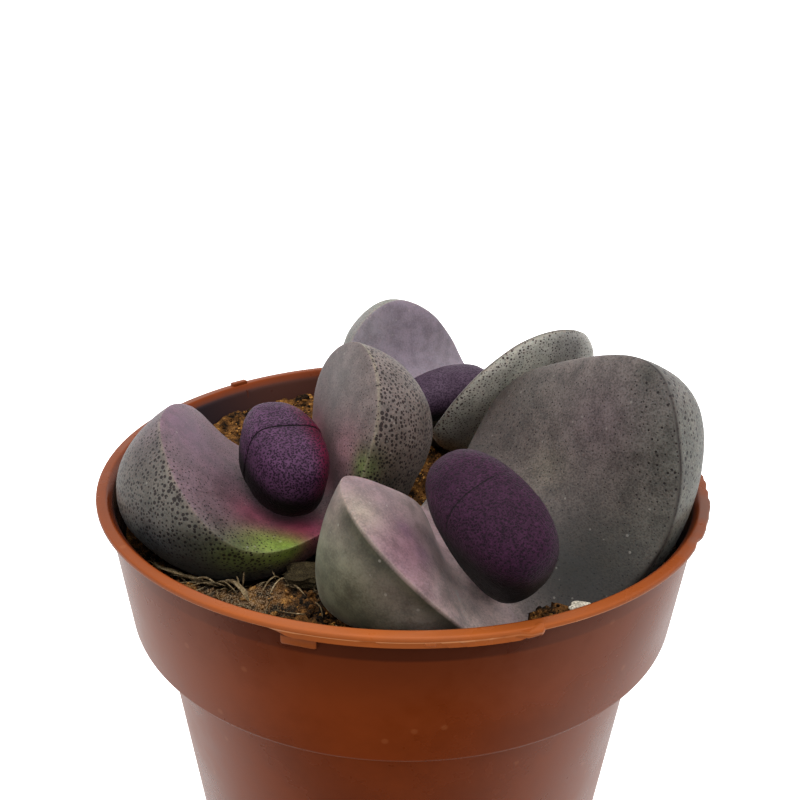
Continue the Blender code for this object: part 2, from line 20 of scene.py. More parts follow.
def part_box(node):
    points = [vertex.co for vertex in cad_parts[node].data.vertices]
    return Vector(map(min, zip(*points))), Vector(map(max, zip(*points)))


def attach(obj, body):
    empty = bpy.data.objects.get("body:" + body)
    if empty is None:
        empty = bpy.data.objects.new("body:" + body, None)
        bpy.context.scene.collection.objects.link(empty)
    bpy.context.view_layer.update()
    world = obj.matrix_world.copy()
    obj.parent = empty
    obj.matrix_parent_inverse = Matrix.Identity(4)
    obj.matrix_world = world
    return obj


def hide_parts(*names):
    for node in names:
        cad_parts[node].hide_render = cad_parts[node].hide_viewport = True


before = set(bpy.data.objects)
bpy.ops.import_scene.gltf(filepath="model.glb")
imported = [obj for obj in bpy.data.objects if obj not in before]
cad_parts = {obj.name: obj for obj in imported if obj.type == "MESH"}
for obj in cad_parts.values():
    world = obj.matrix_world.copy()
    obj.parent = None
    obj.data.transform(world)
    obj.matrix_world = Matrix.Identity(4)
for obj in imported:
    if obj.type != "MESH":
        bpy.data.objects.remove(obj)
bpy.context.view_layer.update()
LOG = logging.getLogger("split_rock")

MM = 0.001
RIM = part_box("pot")[1].z
UP = Vector((0.0, 0.0, 1.0))
DOWN = Vector((0.0, 0.0, -1.0))
Colour = tuple[float, float, float]
Socket = bpy.types.NodeSocket
Mesh = bpy.types.Mesh
Material = bpy.types.Material
Object = bpy.types.Object
NodeTree = bpy.types.NodeTree
Node = bpy.types.Node
BMesh = bmesh.types.BMesh
Array = np.ndarray

# Seeds of the noise and of the random draws
NOISE_SEED = 4
CRUMB_SEED = 7
FIBRE_SEED = 5

# Grown leaves: steps of the spine, height of the face as a share of the width, and how far along the leaf a
# shift of its base reaches
SPINE_STEPS = 200
CROWN = 0.10
SHIFT_REACH = 0.45

# Paint of the grown leaves, in millimetres from the margin: a centre and a width, or only a width
EDGE_DOTS = 0.3
EDGE_DOTS_AT = (0.8, 0.9)
MARGIN_AT = (0.1, 0.28)
CREASE_AT = (-0.12, 0.28)
BACK_EDGE = 0.9
SPOTS_EDGE = 0.3
BAND_WIDTH = 2.6
BAND_EDGE = 0.4

# Share of the rings over which one leaf's paint turns into the other's
FISSURE_BLEND = 0.24

# Where along a leaf its dark band ends, and how long before that it starts to fade
BAND_END = 0.93
BAND_FADE = 0.12


def paint(red: int, green: int, blue: int) -> Colour:
    """Turn a colour as a screen shows it, 0 to 255, into linear light.

    Args:
        red: Red share.
        green: Green share.
        blue: Blue share.

    Returns:
        The same colour in linear light, 0 to 1.
    """
    shares = (red / 255.0, green / 255.0, blue / 255.0)
    return tuple(s / 12.92 if s <= 0.04045 else ((s + 0.055) / 1.055) ** 2.4 for s in shares)


BAND_COLOUR = paint(47, 47, 28)


def smooth(value: Array | float) -> Array | float:
    """Rise gently from 0 to 1.

    Args:
        value: Numbers, of which 0 to 1 is the rise.

    Returns:
        The eased numbers.
    """
    value = np.clip(value, 0.0, 1.0)
    return value * value * (3.0 - 2.0 * value)


def bell(value: Array, centre: float, width: float) -> Array:
    """Strength around a centre.

    Args:
        value: Numbers to judge.
        centre: Where the strength is 1.
        width: How far from there it has fallen to about a third.

    Returns:
        The strengths, 0 to 1.
    """
    return np.exp(-((value - centre) / width) ** 2)


def mixed(under: Array, over: Array | float | Colour, weight: Array) -> Array:
    """Mix numbers or colours.

    Args:
        under: Numbers or colours where the weight is 0.
        over: Numbers or colours where the weight is 1.
        weight: Numbers from 0 to 1.

    Returns:
        The mixed numbers or colours.
    """
    weight = weight[..., None] if np.ndim(under) > np.ndim(weight) else weight
    return under * (1.0 - weight) + np.asarray(over) * weight


def polar(points: Array) -> tuple[Array, Array]:
    """Distances of points from the pot's axis, and their angles round it in degrees."""
    return np.hypot(points[:, 0], points[:, 1]), np.degrees(np.arctan2(points[:, 1], points[:, 0]))


def stand(name: str, data: bpy.types.ID) -> Object:
    """Put a new object with this data into the scene.

    Args:
        name: Name of the object.
        data: Its mesh, camera or light.

    Returns:
        The object.
    """
    made = bpy.data.objects.new(name, data)
    bpy.context.scene.collection.objects.link(made)
    return made


def surface(*pieces: Object) -> BVHTree:
    """The joined surface of several pieces, for finding what lies on or near them.

    Args:
        *pieces: The pieces.

    Returns:
        A tree of all their faces.
    """
    points, faces = [], []
    for piece in pieces:
        start = len(points)
        points += [vert.co.copy() for vert in piece.data.vertices]
        faces += [[start + index for index in face.vertices] for face in piece.data.polygons]
    return BVHTree.FromPolygons(points, faces)


def ground_below(ground: BVHTree, x: float, y: float, height: float = 2.0 * RIM) -> Vector | None:
    """Point of the ground straight below a place, or nothing past its edge."""
    return ground.ray_cast(Vector((x, y, height)), DOWN)[0]


class Slot(Enum):
    """The record's material slots that the pieces take their finish from."""

    PLASTIC = "terracotta_plastic"
    SOIL = "potting_soil"
    LEAF = "grey_mauve_leaf"
    YOUNG = "purple_young_leaf"
    STRAW = "dry_straw"
    BARK = "bark"
    PUMICE = "pumice"


class Graph:
    """Adds shader nodes to one material or group, and links them."""

    def __init__(self, tree: NodeTree) -> None:
        """Keep the tree that the nodes go into."""
        self.tree = tree

    def add(self, kind: str, inputs: dict | None = None, **settings) -> Node:
        """Add a node.

        Args:
            kind: Node type, without the ShaderNode prefix.
            inputs: Values or sockets for the node's inputs, by name or index.
            **settings: Properties of the node.

        Returns:
            The node.
        """
        node = self.tree.nodes.new("ShaderNode" + kind)
        for name, value in settings.items():
            setattr(node, name, value)
        for name, value in (inputs or {}).items():
            self.feed(node.inputs[name], value)
        return node

    def feed(self, socket: Socket, value) -> None:
        """Link a socket into an input, or set the input to a plain value.

        Args:
            socket: The input.
            value: A socket or a plain value.
        """
        if isinstance(value, Socket):
            self.tree.links.new(value, socket)
        elif isinstance(value, tuple) and socket.type == "RGBA":
            socket.default_value = (*value, 1.0)
        else:
            socket.default_value = value

    def coat(self, **inputs) -> None:
        """Feed the material's own shader, with _ for the spaces in the names of its inputs.

        Args:
            **inputs: Sockets or plain values.
        """
        shader = self.tree.nodes["Principled BSDF"]
        for label, value in inputs.items():
            self.feed(shader.inputs[label.replace("_", " ")], value)

    def math(self, operation: str, first, second=0.0) -> Socket:
        """Work out one number from one or two."""
        return self.add("Math", {0: first, 1: second}, operation=operation).outputs[0]

    def times(self, first, second) -> Socket:
        """Multiply two numbers."""
        return self.math("MULTIPLY", first, second)

    def vector(self, operation: str, first, second=(0.0, 0.0, 0.0), output: str = "Vector") -> Socket:
        """Work out a vector, or its Value, from one or two."""
        return self.add("VectorMath", {0: first, 1: second}, operation=operation).outputs[output]

    def mix(self, share, first, second, blend: str = "MIX") -> Socket:
        """Mix two colours."""
        node = self.add("Mix", {0: share, 6: first, 7: second}, data_type="RGBA", blend_type=blend)
        return node.outputs[2]

    def layer(self, colour, *coats: tuple) -> Socket:
        """Lay coats over a colour, each given as its mask and its own colour.

        Args:
            colour: The colour below them.
            *coats: Mask and colour of each coat.

        Returns:
            The colour with its coats.
        """
        for mask, coat in coats:
            colour = self.mix(mask, colour, coat)
        return colour

    def grey(self, value) -> Socket:
        """A grey as light as a number."""
        return self.add("CombineColor", {0: value, 1: value, 2: value}).outputs[0]

    def use(self, group: NodeTree, **inputs) -> Socket:
        """Place a shared group with values or sockets for its inputs, and give the mask that it puts out."""
        return self.add("Group", inputs, node_tree=group).outputs["Mask"]

    def ramp(self, value, low: float, high: float, start=0.0, end=1.0) -> Socket:
        """Ease a number from one range to another, held at both ends."""
        inputs = {"Value": value, "From Min": low, "From Max": high, "To Min": start, "To Max": end}
        return self.add("MapRange", inputs, interpolation_type="SMOOTHSTEP").outputs[0]

    def noise(self, vector, scale, detail: float, roughness: float) -> Socket:
        """Soft noise over a vector."""
        inputs = {"Vector": vector, "Scale": scale, "Detail": detail, "Roughness": roughness}
        return self.add("TexNoise", inputs).outputs[0]

    def attribute(self, name: str, output: str = "Fac") -> Socket:
        """Read one of the piece's own attributes."""
        return self.add("Attribute", attribute_name=name).outputs[output]

    def place(self) -> Socket:
        """Object coordinates."""
        return self.add("TexCoord").outputs["Object"]

    def bump(self, height, distance: float, strength: float, normal: Socket | None = None) -> Socket:
        """Turn a height into a normal.

        Args:
            height: The height.
            distance: Metres that a height of 1 stands for.
            strength: Share of the effect.
            normal: A normal to start from.

        Returns:
            The normal.
        """
        inputs = {"Height": height, "Distance": distance, "Strength": strength}
        if normal is not None:
            inputs["Normal"] = normal
        return self.add("Bump", inputs).outputs[0]


class Effects:
    """Shader groups that several finishes share. Each takes a place and numbers, and puts out one mask."""

    dot_edge = 0.06     # millimetres over which a dot fades

    def __init__(self) -> None:
        """Build each group once."""
        self.mottle = self._mottle()
        self.dots = self._dots()
        self.specks = self._specks()
        self.velvet = self._velvet()

    @staticmethod
    def _start(name: str, numbers: dict[str, float],
               *vectors: str) -> tuple[Graph, bpy.types.bpy_prop_collection]:
        """Make a group that has its input node, but no other.

        Args:
            name: Name of the group.
            numbers: Number inputs and their usual values.
            *vectors: Vector inputs, beside the place.

        Returns:
            A graph for the group's nodes, and the sockets that hold its inputs.
        """
        tree = bpy.data.node_groups.new(name, "ShaderNodeTree")
        tree.interface.new_socket("Vector", in_out="INPUT", socket_type="NodeSocketVector")
        for label, value in numbers.items():
            socket = tree.interface.new_socket(label, in_out="INPUT", socket_type="NodeSocketFloat")
            socket.default_value = value
        for label in vectors:
            tree.interface.new_socket(label, in_out="INPUT", socket_type="NodeSocketVector")
        tree.interface.new_socket("Mask", in_out="OUTPUT", socket_type="NodeSocketFloat")
        return Graph(tree), tree.nodes.new("NodeGroupInput").outputs

    @staticmethod
    def _end(graph: Graph, mask: Socket) -> NodeTree:
        """Put the mask out of its group."""
        graph.feed(graph.tree.nodes.new("NodeGroupOutput").inputs["Mask"], mask)
        return graph.tree

    def _mottle(self) -> NodeTree:
        """Broad and fine unevenness of a surface, around 0.5.

        Returns:
            The group.
        """
        graph, given = self._start("mottle", {"Scale": 300.0, "Fine": 0.35})
        broad = graph.noise(given["Vector"], given["Scale"], 3.0, 0.55)
        fine = graph.noise(given["Vector"], graph.times(given["Scale"], 9.0), 2.0, 0.6)
        return self._end(graph, graph.add("Mix", {0: given["Fine"], 2: broad, 3: fine}).outputs[0])

    @staticmethod
    def _grains(graph: Graph, given, warp_scale: float, warp_size: float, loose: float,
                **settings) -> tuple[Socket, Node]:
        """Scatter points about an unevenly warped space, whose vector is in millimetres.

        Args:
            graph: Graph of the group.
            given: The group's input sockets, with a spacing and a seed.
            warp_scale: How fine the unevenness is.
            warp_size: How far it moves a place, in millimetres.
            loose: How far the points stray from an even lattice, 0 to 1.
            **settings: Settings of the pattern.

        Returns:
            The warped place and the pattern, both in shares of the spacing.
        """
        shift = graph.add("CombineXYZ", {0: given["Seed"], 1: given["Seed"]}).outputs[0]
        moved = graph.vector("ADD", given["Vector"], shift)
        warp = graph.add("TexNoise", {"Vector": moved, "Scale": warp_scale, "Detail": 2.0}).outputs["Color"]
        moved = graph.vector("ADD", moved, graph.vector("MULTIPLY", warp, (warp_size,) * 3))
        share = graph.math("DIVIDE", 1.0, given["Spacing"])
        cells = graph.add("VectorMath", {0: moved, 3: share}, operation="SCALE").outputs[0]
        inputs = {"Vector": cells, "Scale": 1.0, "Randomness": loose}
        return cells, graph.add("TexVoronoi", inputs, **settings)

    def _dots(self) -> NodeTree:
        """Round dots of several sizes on a surface, each as large as if its centre lay in the surface.

        Returns:
            The group.
        """
        graph, given = self._start("dots", {"Spacing": 0.5, "Radius": 0.17, "Seed": 0.0}, "Outward")
        cells, points = self._grains(graph, given, warp_scale=3.0, warp_size=0.14, loose=0.8)
        away = graph.vector("SUBTRACT", cells, points.outputs["Position"])
        above = graph.vector("PROJECT", away, given["Outward"])
        length = graph.vector("LENGTH", graph.vector("SUBTRACT", away, above), output="Value")
        chance = graph.add("SeparateColor", {0: points.outputs["Color"]}).outputs[0]
        size = graph.times(given["Radius"], graph.ramp(chance, 0.0, 1.0, 0.65, 1.3))
        inner = graph.math("SUBTRACT", size, graph.times(length, given["Spacing"]))
        return self._end(graph, graph.ramp(graph.math("DIVIDE", inner, self.dot_edge), -0.5, 0.7))

    def _specks(self) -> NodeTree:
        """Sparse specks of dust or lime.

        Returns:
            The group.
        """
        graph, given = self._start("specks", {"Scale": 900.0, "Amount": 0.1})
        inputs = {"Vector": given["Vector"], "Scale": given["Scale"], "Randomness": 1.0}
        cells = graph.add("TexVoronoi", inputs).outputs
        chance = graph.add("SeparateColor", {0: cells["Color"]}).outputs[1]
        chosen = graph.math("LESS_THAN", chance, given["Amount"])
        return self._end(graph, graph.times(chosen, graph.ramp(cells["Distance"], 0.34, 0.16)))

    def _velvet(self) -> NodeTree:
        """Fine dark grains that run together in places.

        Returns:
            The group.
        """
        graph, given = self._start("velvet", {"Spacing": 0.34, "Seed": 0.0})
        points = self._grains(graph, given, warp_scale=2.2, warp_size=0.3, loose=0.88, feature="SMOOTH_F1")[1]
        points.inputs["Smoothness"].default_value = 0.25
        return self._end(graph, graph.ramp(points.outputs["Distance"], 0.6, 0.34))


def new_material(name: str, **shine: float) -> tuple[Material, Graph]:
    """Start a material.

    Args:
        name: Name of the material.
        **shine: Plain numbers for the shader's own inputs, with _ for spaces.

    Returns:
        The material and a graph for its nodes.
    """
    material = bpy.data.materials.new(name)
    material.use_nodes = True
    graph = Graph(material.node_tree)
    graph.coat(**shine)
    return material, graph


@dataclass(frozen=True)
class PlasticFinish:
    """Moulded terracotta plastic: satin, faintly clouded and flecked with dust; the lip is painted paler, as
    painted light brightest at the front, and scuffed, with a painted reflection greying it at the left.

    The ranges of the painted light on the lip, the painted shadow under it and the painted highlight line
    round it are depths below the rim, from where the paint is absent to where it is full.
    """

    body: Colour = paint(130, 61, 21)
    deep: Colour = paint(114, 52, 17)
    # Painted light on the lip, brightest at the front; the tabs take the same colour
    lip: Colour = paint(172, 98, 50)
    # Dust specks, and the painted highlight line round the lip
    shine: Colour = paint(232, 168, 120)
    # Painted shadow under the lip, on the front only
    painted_shadow: Colour = paint(66, 25, 5)
    # Scuffs on the lip, and a painted reflection that greys its left
    scuff_and_reflection: Colour = paint(118, 82, 68)
    inside: Colour = paint(105, 71, 62)
    shade: Colour = paint(40, 46, 56)
    dust: float = 0.07
    lip_range: tuple[float, float] = (1.7 * MM, 1.4 * MM)
    dusk_start: tuple[float, float] = (1.3 * MM, 1.7 * MM)
    dusk_end: tuple[float, float] = (4.6 * MM, 3.8 * MM)
    faint_end: tuple[float, float] = (13.0 * MM, 3.0 * MM)
    full_dusk: float = 0.9
    faint_dusk: float = 0.55
    line_depth: float = 0.72 * MM
    line_range: tuple[float, float] = (0.16 * MM, 0.04 * MM)

    def material(self, effects: Effects) -> Material:
        """Build the material.

        Args:
            effects: The shared groups.

        Returns:
            The material.
        """
        material, graph = new_material("moulded_terracotta", Specular_IOR_Level=0.16)
        place = graph.place()
        cloud = graph.use(effects.mottle, Vector=place, Scale=60.0, Fine=0.2)
        dust = graph.use(effects.specks, Vector=place, Scale=650.0, Amount=0.04)
        below = graph.math("SUBTRACT", RIM, graph.add("SeparateXYZ", {0: place}).outputs["Z"])
        front = graph.attribute("front")
        # Coats: dust specks, painted shadow under the lip, painted light on the lip, a painted highlight
        # line, the inner wall, painted shade in the gaps beside the leaves, and scuffs with a painted
        # reflection
        colour = graph.layer(
            graph.mix(graph.ramp(cloud, 0.3, 0.7), self.deep, self.body),
            (graph.times(dust, self.dust), self.shine),
            (self.under_lip(graph, below, front), self.painted_shadow),
            (self.painted_light_on_lip(graph, below), self.lip),
            (self.painted_highlight_line(graph, below, front, cloud), self.shine),
            (graph.attribute("inside"), self.inside),
            (graph.attribute("shade"), self.shade),
            (graph.times(graph.attribute("wear"), graph.ramp(cloud, 0.45, 0.6)), self.scuff_and_reflection))
        grain = graph.noise(place, 2600.0, 3.0, 0.6)
        graph.coat(Base_Color=colour, Roughness=graph.ramp(cloud, 0.2, 0.8, 0.22, 0.34),
                   Normal=graph.bump(grain, 0.00001, 0.3))
        return material

    def under_lip(self, graph: Graph, below: Socket, front: Socket) -> Socket:
        """Mask of the painted shadow under the lip, strong at first and then faint, on the front only.

        Args:
            graph: Graph of the material.
            below: Depth below the rim.
            front: Mask of the front.

        Returns:
            The mask.
        """
        fading = graph.math("MAXIMUM", graph.ramp(below, *self.dusk_end),
                            graph.ramp(below, *self.faint_end, 0.0, self.faint_dusk))
        painted_shadow = graph.times(graph.ramp(below, *self.dusk_start), fading)
        return graph.times(painted_shadow, graph.times(front, self.full_dusk))

    def painted_light_on_lip(self, graph: Graph, below: Socket) -> Socket:
        """Mask of the painted light on the lip, brightest at the front, and of the tabs under it, which take
        the same colour.
        """
        edge = graph.times(graph.ramp(below, *self.lip_range), graph.attribute("lip"))
        return graph.math("MAXIMUM", edge, graph.attribute("tab"))

    def painted_highlight_line(self, graph: Graph, below: Socket, front: Socket, cloud: Socket) -> Socket:
        """Mask of the painted highlight, a fine bright line round the lip, broken in places.

        Args:
            graph: Graph of the material.
            below: Depth below the rim.
            front: Mask of the front.
            cloud: What breaks the line up.

        Returns:
            The mask.
        """
        away = graph.math("ABSOLUTE", graph.math("SUBTRACT", below, self.line_depth))
        line = graph.times(graph.ramp(away, *self.line_range), graph.attribute("outside"))
        return graph.times(line, graph.times(front, graph.ramp(cloud, 0.4, 0.55, 0.2, 0.8)))


@dataclass(frozen=True)
class LeafFinish:
    """Waxy leaf skin: the ground colour painted on the mesh, with painted shade and painted light in some of
    its tints, under mottling, dots and a pale margin.

    The spacing and radius of the dots and the spacing of the stipple between them are in millimetres.
    """

    name: str
    dot: Colour = (0.16, 0.12, 0.13)
    margin: Colour = paint(150, 142, 120)
    lime: Colour = paint(206, 200, 190)
    spacing: float = 0.66
    radius: float = 0.135
    stipple: float = 0.2
    stipple_spacing: float = 0.3
    mottling: float = 0.26
    mottle_scale: float = 420.0
    seed: float = 0.0

    def material(self, effects: Effects) -> Material:
        """Build the material.

        Args:
            effects: The shared groups.

        Returns:
            The material.
        """
        material, graph = new_material(
            self.name, Specular_IOR_Level=0.42, Sheen_Weight=0.08, Sheen_Roughness=0.45,
            Subsurface_Weight=0.08, Subsurface_Scale=0.002)
        place = graph.place()
        cloud = graph.use(effects.mottle, Vector=place, Scale=self.mottle_scale, Fine=0.4)
        shade = graph.grey(graph.ramp(cloud, 0.33, 0.67, 1.0 - self.mottling, 1.0 + self.mottling))
        colour = graph.mix(1.0, graph.attribute("ground", "Color"), shade, "MULTIPLY")
        broken = graph.ramp(cloud, 0.3, 0.6, 0.25, 1.0)
        colour = graph.mix(graph.times(graph.attribute("margin"), broken), colour, self.margin)
        marks = self.marks(graph, effects, place, broken)
        specks = graph.use(effects.specks, Vector=place, Scale=1500.0, Amount=0.03)
        colour = graph.layer(
            colour,
            (marks, graph.mix(1.0, colour, self.dot, "MULTIPLY")),
            (graph.times(specks, 0.2), self.lime))
        grain = graph.bump(graph.noise(place, 2200.0, 2.0, 0.6), 0.00004, 0.5)
        graph.coat(Base_Color=colour, Roughness=graph.ramp(cloud, 0.2, 0.8, 0.42, 0.58),
                   Normal=graph.bump(marks, -0.00004, 0.6, grain))
        return material

    def marks(self, graph: Graph, effects: Effects, place: Socket, broken: Socket) -> Socket:
        """Everything that darkens the skin: dots, the crease along the margin and a fine stipple.

        Args:
            graph: Graph of the material.
            effects: The shared groups.
            place: Place on the skin.
            broken: Mask that breaks up the crease.

        Returns:
            The mask of all the marks.
        """
        in_mm = graph.vector("MULTIPLY", place, (1.0 / MM,) * 3)
        dots = graph.use(
            effects.dots, Vector=in_mm, Spacing=self.spacing, Seed=self.seed,
            Radius=graph.times(graph.attribute("dots"), self.radius),
            Outward=graph.attribute("outward", "Vector"))
        crease = graph.times(graph.attribute("fold"), broken)
        grains = graph.use(effects.velvet, Vector=in_mm, Spacing=self.stipple_spacing, Seed=self.seed)
        stipple = graph.times(grains, graph.ramp(graph.attribute("dots"), 0.0, 0.6, 0.0, self.stipple))
        return graph.math("MAXIMUM", graph.math("MAXIMUM", dots, crease), stipple)


@dataclass(frozen=True)
class YoungFinish:
    """Velvety purple skin with a fine dark meandering pattern and a thin dark seam, which is painted shade in
    the fissure; its foot is darker, partly its own colour and partly painted shade.

    The spacing of the pattern and the range of the seam's half width are in millimetres.
    """

    name: str
    lilac: Colour = paint(98, 65, 95)
    plum: Colour = paint(32, 14, 32)
    rose: Colour = paint(102, 11, 46)
    ash: Colour = paint(70, 58, 64)
    foot: Colour = paint(8, 2, 5)
    spacing: float = 0.29
    marking: float = 0.9
    wisps: float = 0.0
    wisp_gain: float = 2.1
    seam_range: tuple[float, float] = (0.12, 0.05)
    seed: float = 0.0

    def material(self, effects: Effects) -> Material:
        """Build the material.

        Args:
            effects: The shared groups.

        Returns:
            The material.
        """
        material, graph = new_material(
            self.name, Specular_IOR_Level=0.2, Sheen_Weight=0.03, Sheen_Roughness=0.4)
        place = graph.place()
        marks = graph.use(effects.velvet, Vector=graph.attribute("skin", "Vector"),
                          Spacing=self.spacing, Seed=self.seed)
        cloud = graph.use(effects.mottle, Vector=place, Scale=330.0, Fine=0.45)
        ground = graph.layer(
            graph.mix(graph.ramp(cloud, 0.3, 0.7, 0.0, 0.45), self.lilac, self.plum),
            (graph.attribute("rose"), self.rose),
            (graph.attribute("ash"), self.ash))
        waves = graph.noise(graph.attribute("skin", "Vector"), 1.5, 2.0, 0.6)
        wisps = graph.ramp(graph.math("ABSOLUTE", graph.math("SUBTRACT", waves, 0.5)), 0.045, 0.008)
        seam = graph.ramp(graph.math("ABSOLUTE", graph.attribute("seam")), *self.seam_range)
        specks = graph.use(effects.specks, Vector=place, Scale=1400.0, Amount=0.008)
        colour = graph.layer(
            ground,
            (graph.times(marks, self.marking), self.plum),
            (graph.times(wisps, self.wisps), graph.mix(1.0, ground, (self.wisp_gain,) * 3, "MULTIPLY")),
            # The foot: partly its own dark colour, partly painted shade; the seam: painted shade in the
            # fissure
            (graph.attribute("foot"), self.foot),
            (graph.times(seam, graph.attribute("seam_strength")), self.foot),
            (graph.times(specks, 0.5), self.ash))
        graph.coat(Base_Color=colour, Roughness=graph.ramp(cloud, 0.2, 0.8, 0.46, 0.62),
                   Normal=graph.bump(marks, -0.00006, 0.7))
        return material


@dataclass(frozen=True)
class EarthFinish:
    """Matte natural stuff in several tones: soil, straw, bark, pumice or root."""

    name: str
    light: Colour
    middle: Colour
    dark: Colour
    scale: float
    grain: float = 0.0001
    roughness: float = 0.95
    gritty: float = 0.45
    # The pale patch at the front left of the soil: partly dust, partly painted light
    dust: Colour = paint(150, 134, 112)

    def material(self, effects: Effects) -> Material:
        """Build the material.

        Args:
            effects: The shared groups.

        Returns:
            The material.
        """
        material, graph = new_material(self.name, Specular_IOR_Level=0.25)
        place = graph.place()
        cloud = graph.use(effects.mottle, Vector=place, Scale=self.scale * 0.3, Fine=0.5)
        tone = graph.math("ADD", cloud, graph.attribute("tone"))
        fine = graph.noise(place, self.scale * 2.0, 3.0, 0.65)
        colour = graph.layer(
            graph.mix(graph.ramp(tone, 0.25, 0.52), self.dark, self.middle),
            (graph.ramp(tone, 0.5, 0.85), self.light),
            # Pale patch: partly dust, partly painted light
            (graph.times(graph.attribute("dusty"), graph.ramp(fine, 0.44, 0.6)), self.dust))
        grit = graph.grey(graph.ramp(fine, 0.34, 0.66, 1.0 - self.gritty, 1.0 + self.gritty))
        graph.coat(Base_Color=graph.mix(1.0, colour, grit, "MULTIPLY"), Roughness=self.roughness,
                   Normal=graph.bump(fine, self.grain, 0.8))
        return material


class Bench:
    """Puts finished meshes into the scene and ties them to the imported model."""

    @staticmethod
    def outwards(bm: BMesh) -> None:
        """Point every face of a closed body outwards.

        Args:
            bm: The body.
        """
        bmesh.ops.recalc_face_normals(bm, faces=bm.faces)
        if bm.calc_volume(signed=True) < 0.0:
            bmesh.ops.reverse_faces(bm, faces=bm.faces)

    @staticmethod
    def face_out(mesh: Mesh) -> None:
        """Point every face of a mesh outwards.

        Args:
            mesh: The mesh.
        """
        bm = bmesh.new()
        bm.from_mesh(mesh)
        Bench.outwards(bm)
        bm.to_mesh(mesh)
        bm.free()
        mesh.update()

    @staticmethod
    def mesh(name: str, bm: BMesh) -> Mesh:
        """Turn a bmesh into a smooth shaded mesh and free it.

        Args:
            name: Name of the mesh.
            bm: The bmesh.

        Returns:
            The mesh.
        """
        mesh = bpy.data.meshes.new(name)
        bm.to_mesh(mesh)
        bm.free()
        mesh.shade_smooth()
        return mesh

    @staticmethod
    def ball(name: str, sides: int, rings: int) -> tuple[Mesh, Array, Array]:
        """Weld a grid into a closed ball, whose points are still to be placed.

        Args:
            name: Name of the mesh.
            sides: Points round each ring.
            rings: Steps from pole to pole.

        Returns:
            The mesh, and the ring and side of each of its points.
        """
        bm = bmesh.new()
        bmesh.ops.create_grid(bm, x_segments=sides, y_segments=rings, size=1.0)
        verts = list(bm.verts)
        ring, side = np.divmod(np.arange(len(verts)), sides + 1)
        goal = np.where(side == sides, ring * (sides + 1), np.arange(len(verts)))
        goal = np.where(ring == 0, 0, np.where(ring == rings, rings * (sides + 1), goal))
        moved = {verts[i]: verts[j] for i, j in enumerate(goal) if i != j}
        bmesh.ops.weld_verts(bm, targetmap=moved)
        kept = goal == np.arange(len(goal))
        return Bench.mesh(name, bm), ring[kept], side[kept]

    @staticmethod
    def numbers(mesh: Mesh, **layers: Array) -> None:
        """Store numbers, one a point, each row of them under its own name.

        Args:
            mesh: The mesh.
            **layers: Numbers by name.
        """
        for name, values in layers.items():
            layer = mesh.attributes.new(name, "FLOAT", "POINT")
            layer.data.foreach_set("value", np.asarray(values, np.float32).ravel())

    @staticmethod
    def vector(mesh: Mesh, name: str, values: Array) -> None:
        """Store one vector a point."""
        layer = mesh.attributes.new(name, "FLOAT_VECTOR", "POINT")
        layer.data.foreach_set("vector", np.asarray(values, np.float32).ravel())

    @staticmethod
    def colour(mesh: Mesh, name: str, values: Array) -> None:
        """Store one colour a point.

        Args:
            mesh: The mesh.
            name: Name of the colours.
            values: A row of three numbers a point.
        """
        layer = mesh.attributes.new(name, "FLOAT_COLOR", "POINT")
        full = np.ones((len(mesh.vertices), 4), np.float32)
        full[:, :3] = values
        layer.data.foreach_set("color", full.ravel())

    @staticmethod
    def place(mesh: Mesh, points: Array) -> None:
        """Move the points of a mesh to new places."""
        mesh.vertices.foreach_set("co", points.astype(np.float32).ravel())

    @staticmethod
    def points(mesh: Mesh) -> Array:
        """All points of a mesh.

        Args:
            mesh: The mesh.

        Returns:
            A row of three numbers a point.
        """
        places = np.empty(len(mesh.vertices) * 3, np.float32)
        mesh.vertices.foreach_get("co", places)
        return places.reshape(-1, 3).astype(float)

    @staticmethod
    def normals(mesh: Mesh) -> Array:
        """Outward directions at all points of a mesh.

        Args:
            mesh: The mesh.

        Returns:
            A row of three numbers a point.
        """
        normals = np.empty(len(mesh.vertices) * 3, np.float32)
        mesh.vertex_normals.foreach_get("vector", normals)
        return normals.reshape(-1, 3)

    @staticmethod
    def swell(mesh: Mesh, amounts: Array) -> None:
        """Move every point along its normal.

        Args:
            mesh: The mesh to change.
            amounts: How far each point moves.
        """
        Bench.place(mesh, Bench.points(mesh) + Bench.normals(mesh) * np.asarray(amounts)[:, None])
        mesh.update()

    @staticmethod
    def show(mesh: Mesh, material: Material, slot: Slot, *nodes: str) -> Object:
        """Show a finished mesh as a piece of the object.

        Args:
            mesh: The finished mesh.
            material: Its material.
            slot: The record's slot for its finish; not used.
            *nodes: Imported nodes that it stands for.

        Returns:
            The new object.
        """
        mesh.materials.clear()
        mesh.materials.append(material)
        piece = stand(mesh.name, mesh)
        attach(piece, "root")
        if nodes:
            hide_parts(*nodes)
        LOG.info("%s: %d faces", piece.name, len(mesh.polygons))
        return piece

    @staticmethod
    def cut(mesh: Mesh, tool: Mesh) -> Mesh:
        """Cut one closed mesh out of another.

        Args:
            mesh: The mesh to cut.
            tool: What is taken away.

        Returns:
            The changed mesh, under the same name.
        """
        piece, other = stand("work", mesh), stand("tool", tool)
        modifier = piece.modifiers.new("cut", "BOOLEAN")
        modifier.object = other
        modifier.operation = "DIFFERENCE"
        modifier.solver = "MANIFOLD"
        name = mesh.name
        mesh.name = "uncut"
        result = bpy.data.meshes.new_from_object(piece.evaluated_get(bpy.context.evaluated_depsgraph_get()))
        result.name = name
        for obj in (piece, other):
            bpy.data.objects.remove(obj)
        return result


class Twin(Enum):
    """Which of a pair's two leaves."""

    FIRST = 0
    SECOND = 1


@dataclass(frozen=True)
class Tint:
    """A soft patch of colour on a grown leaf: some are its own pink, green or grey, some painted shade and
    some painted light.
    """

    leaf: Twin
    along: float       # from 0 at the base to 1 at the tip
    angle: float       # degrees round the leaf: 90 is the middle of its back, -90 of its face
    radius: float      # millimetres
    colour: Colour
    strength: float = 1.0
    dots: float | None = None


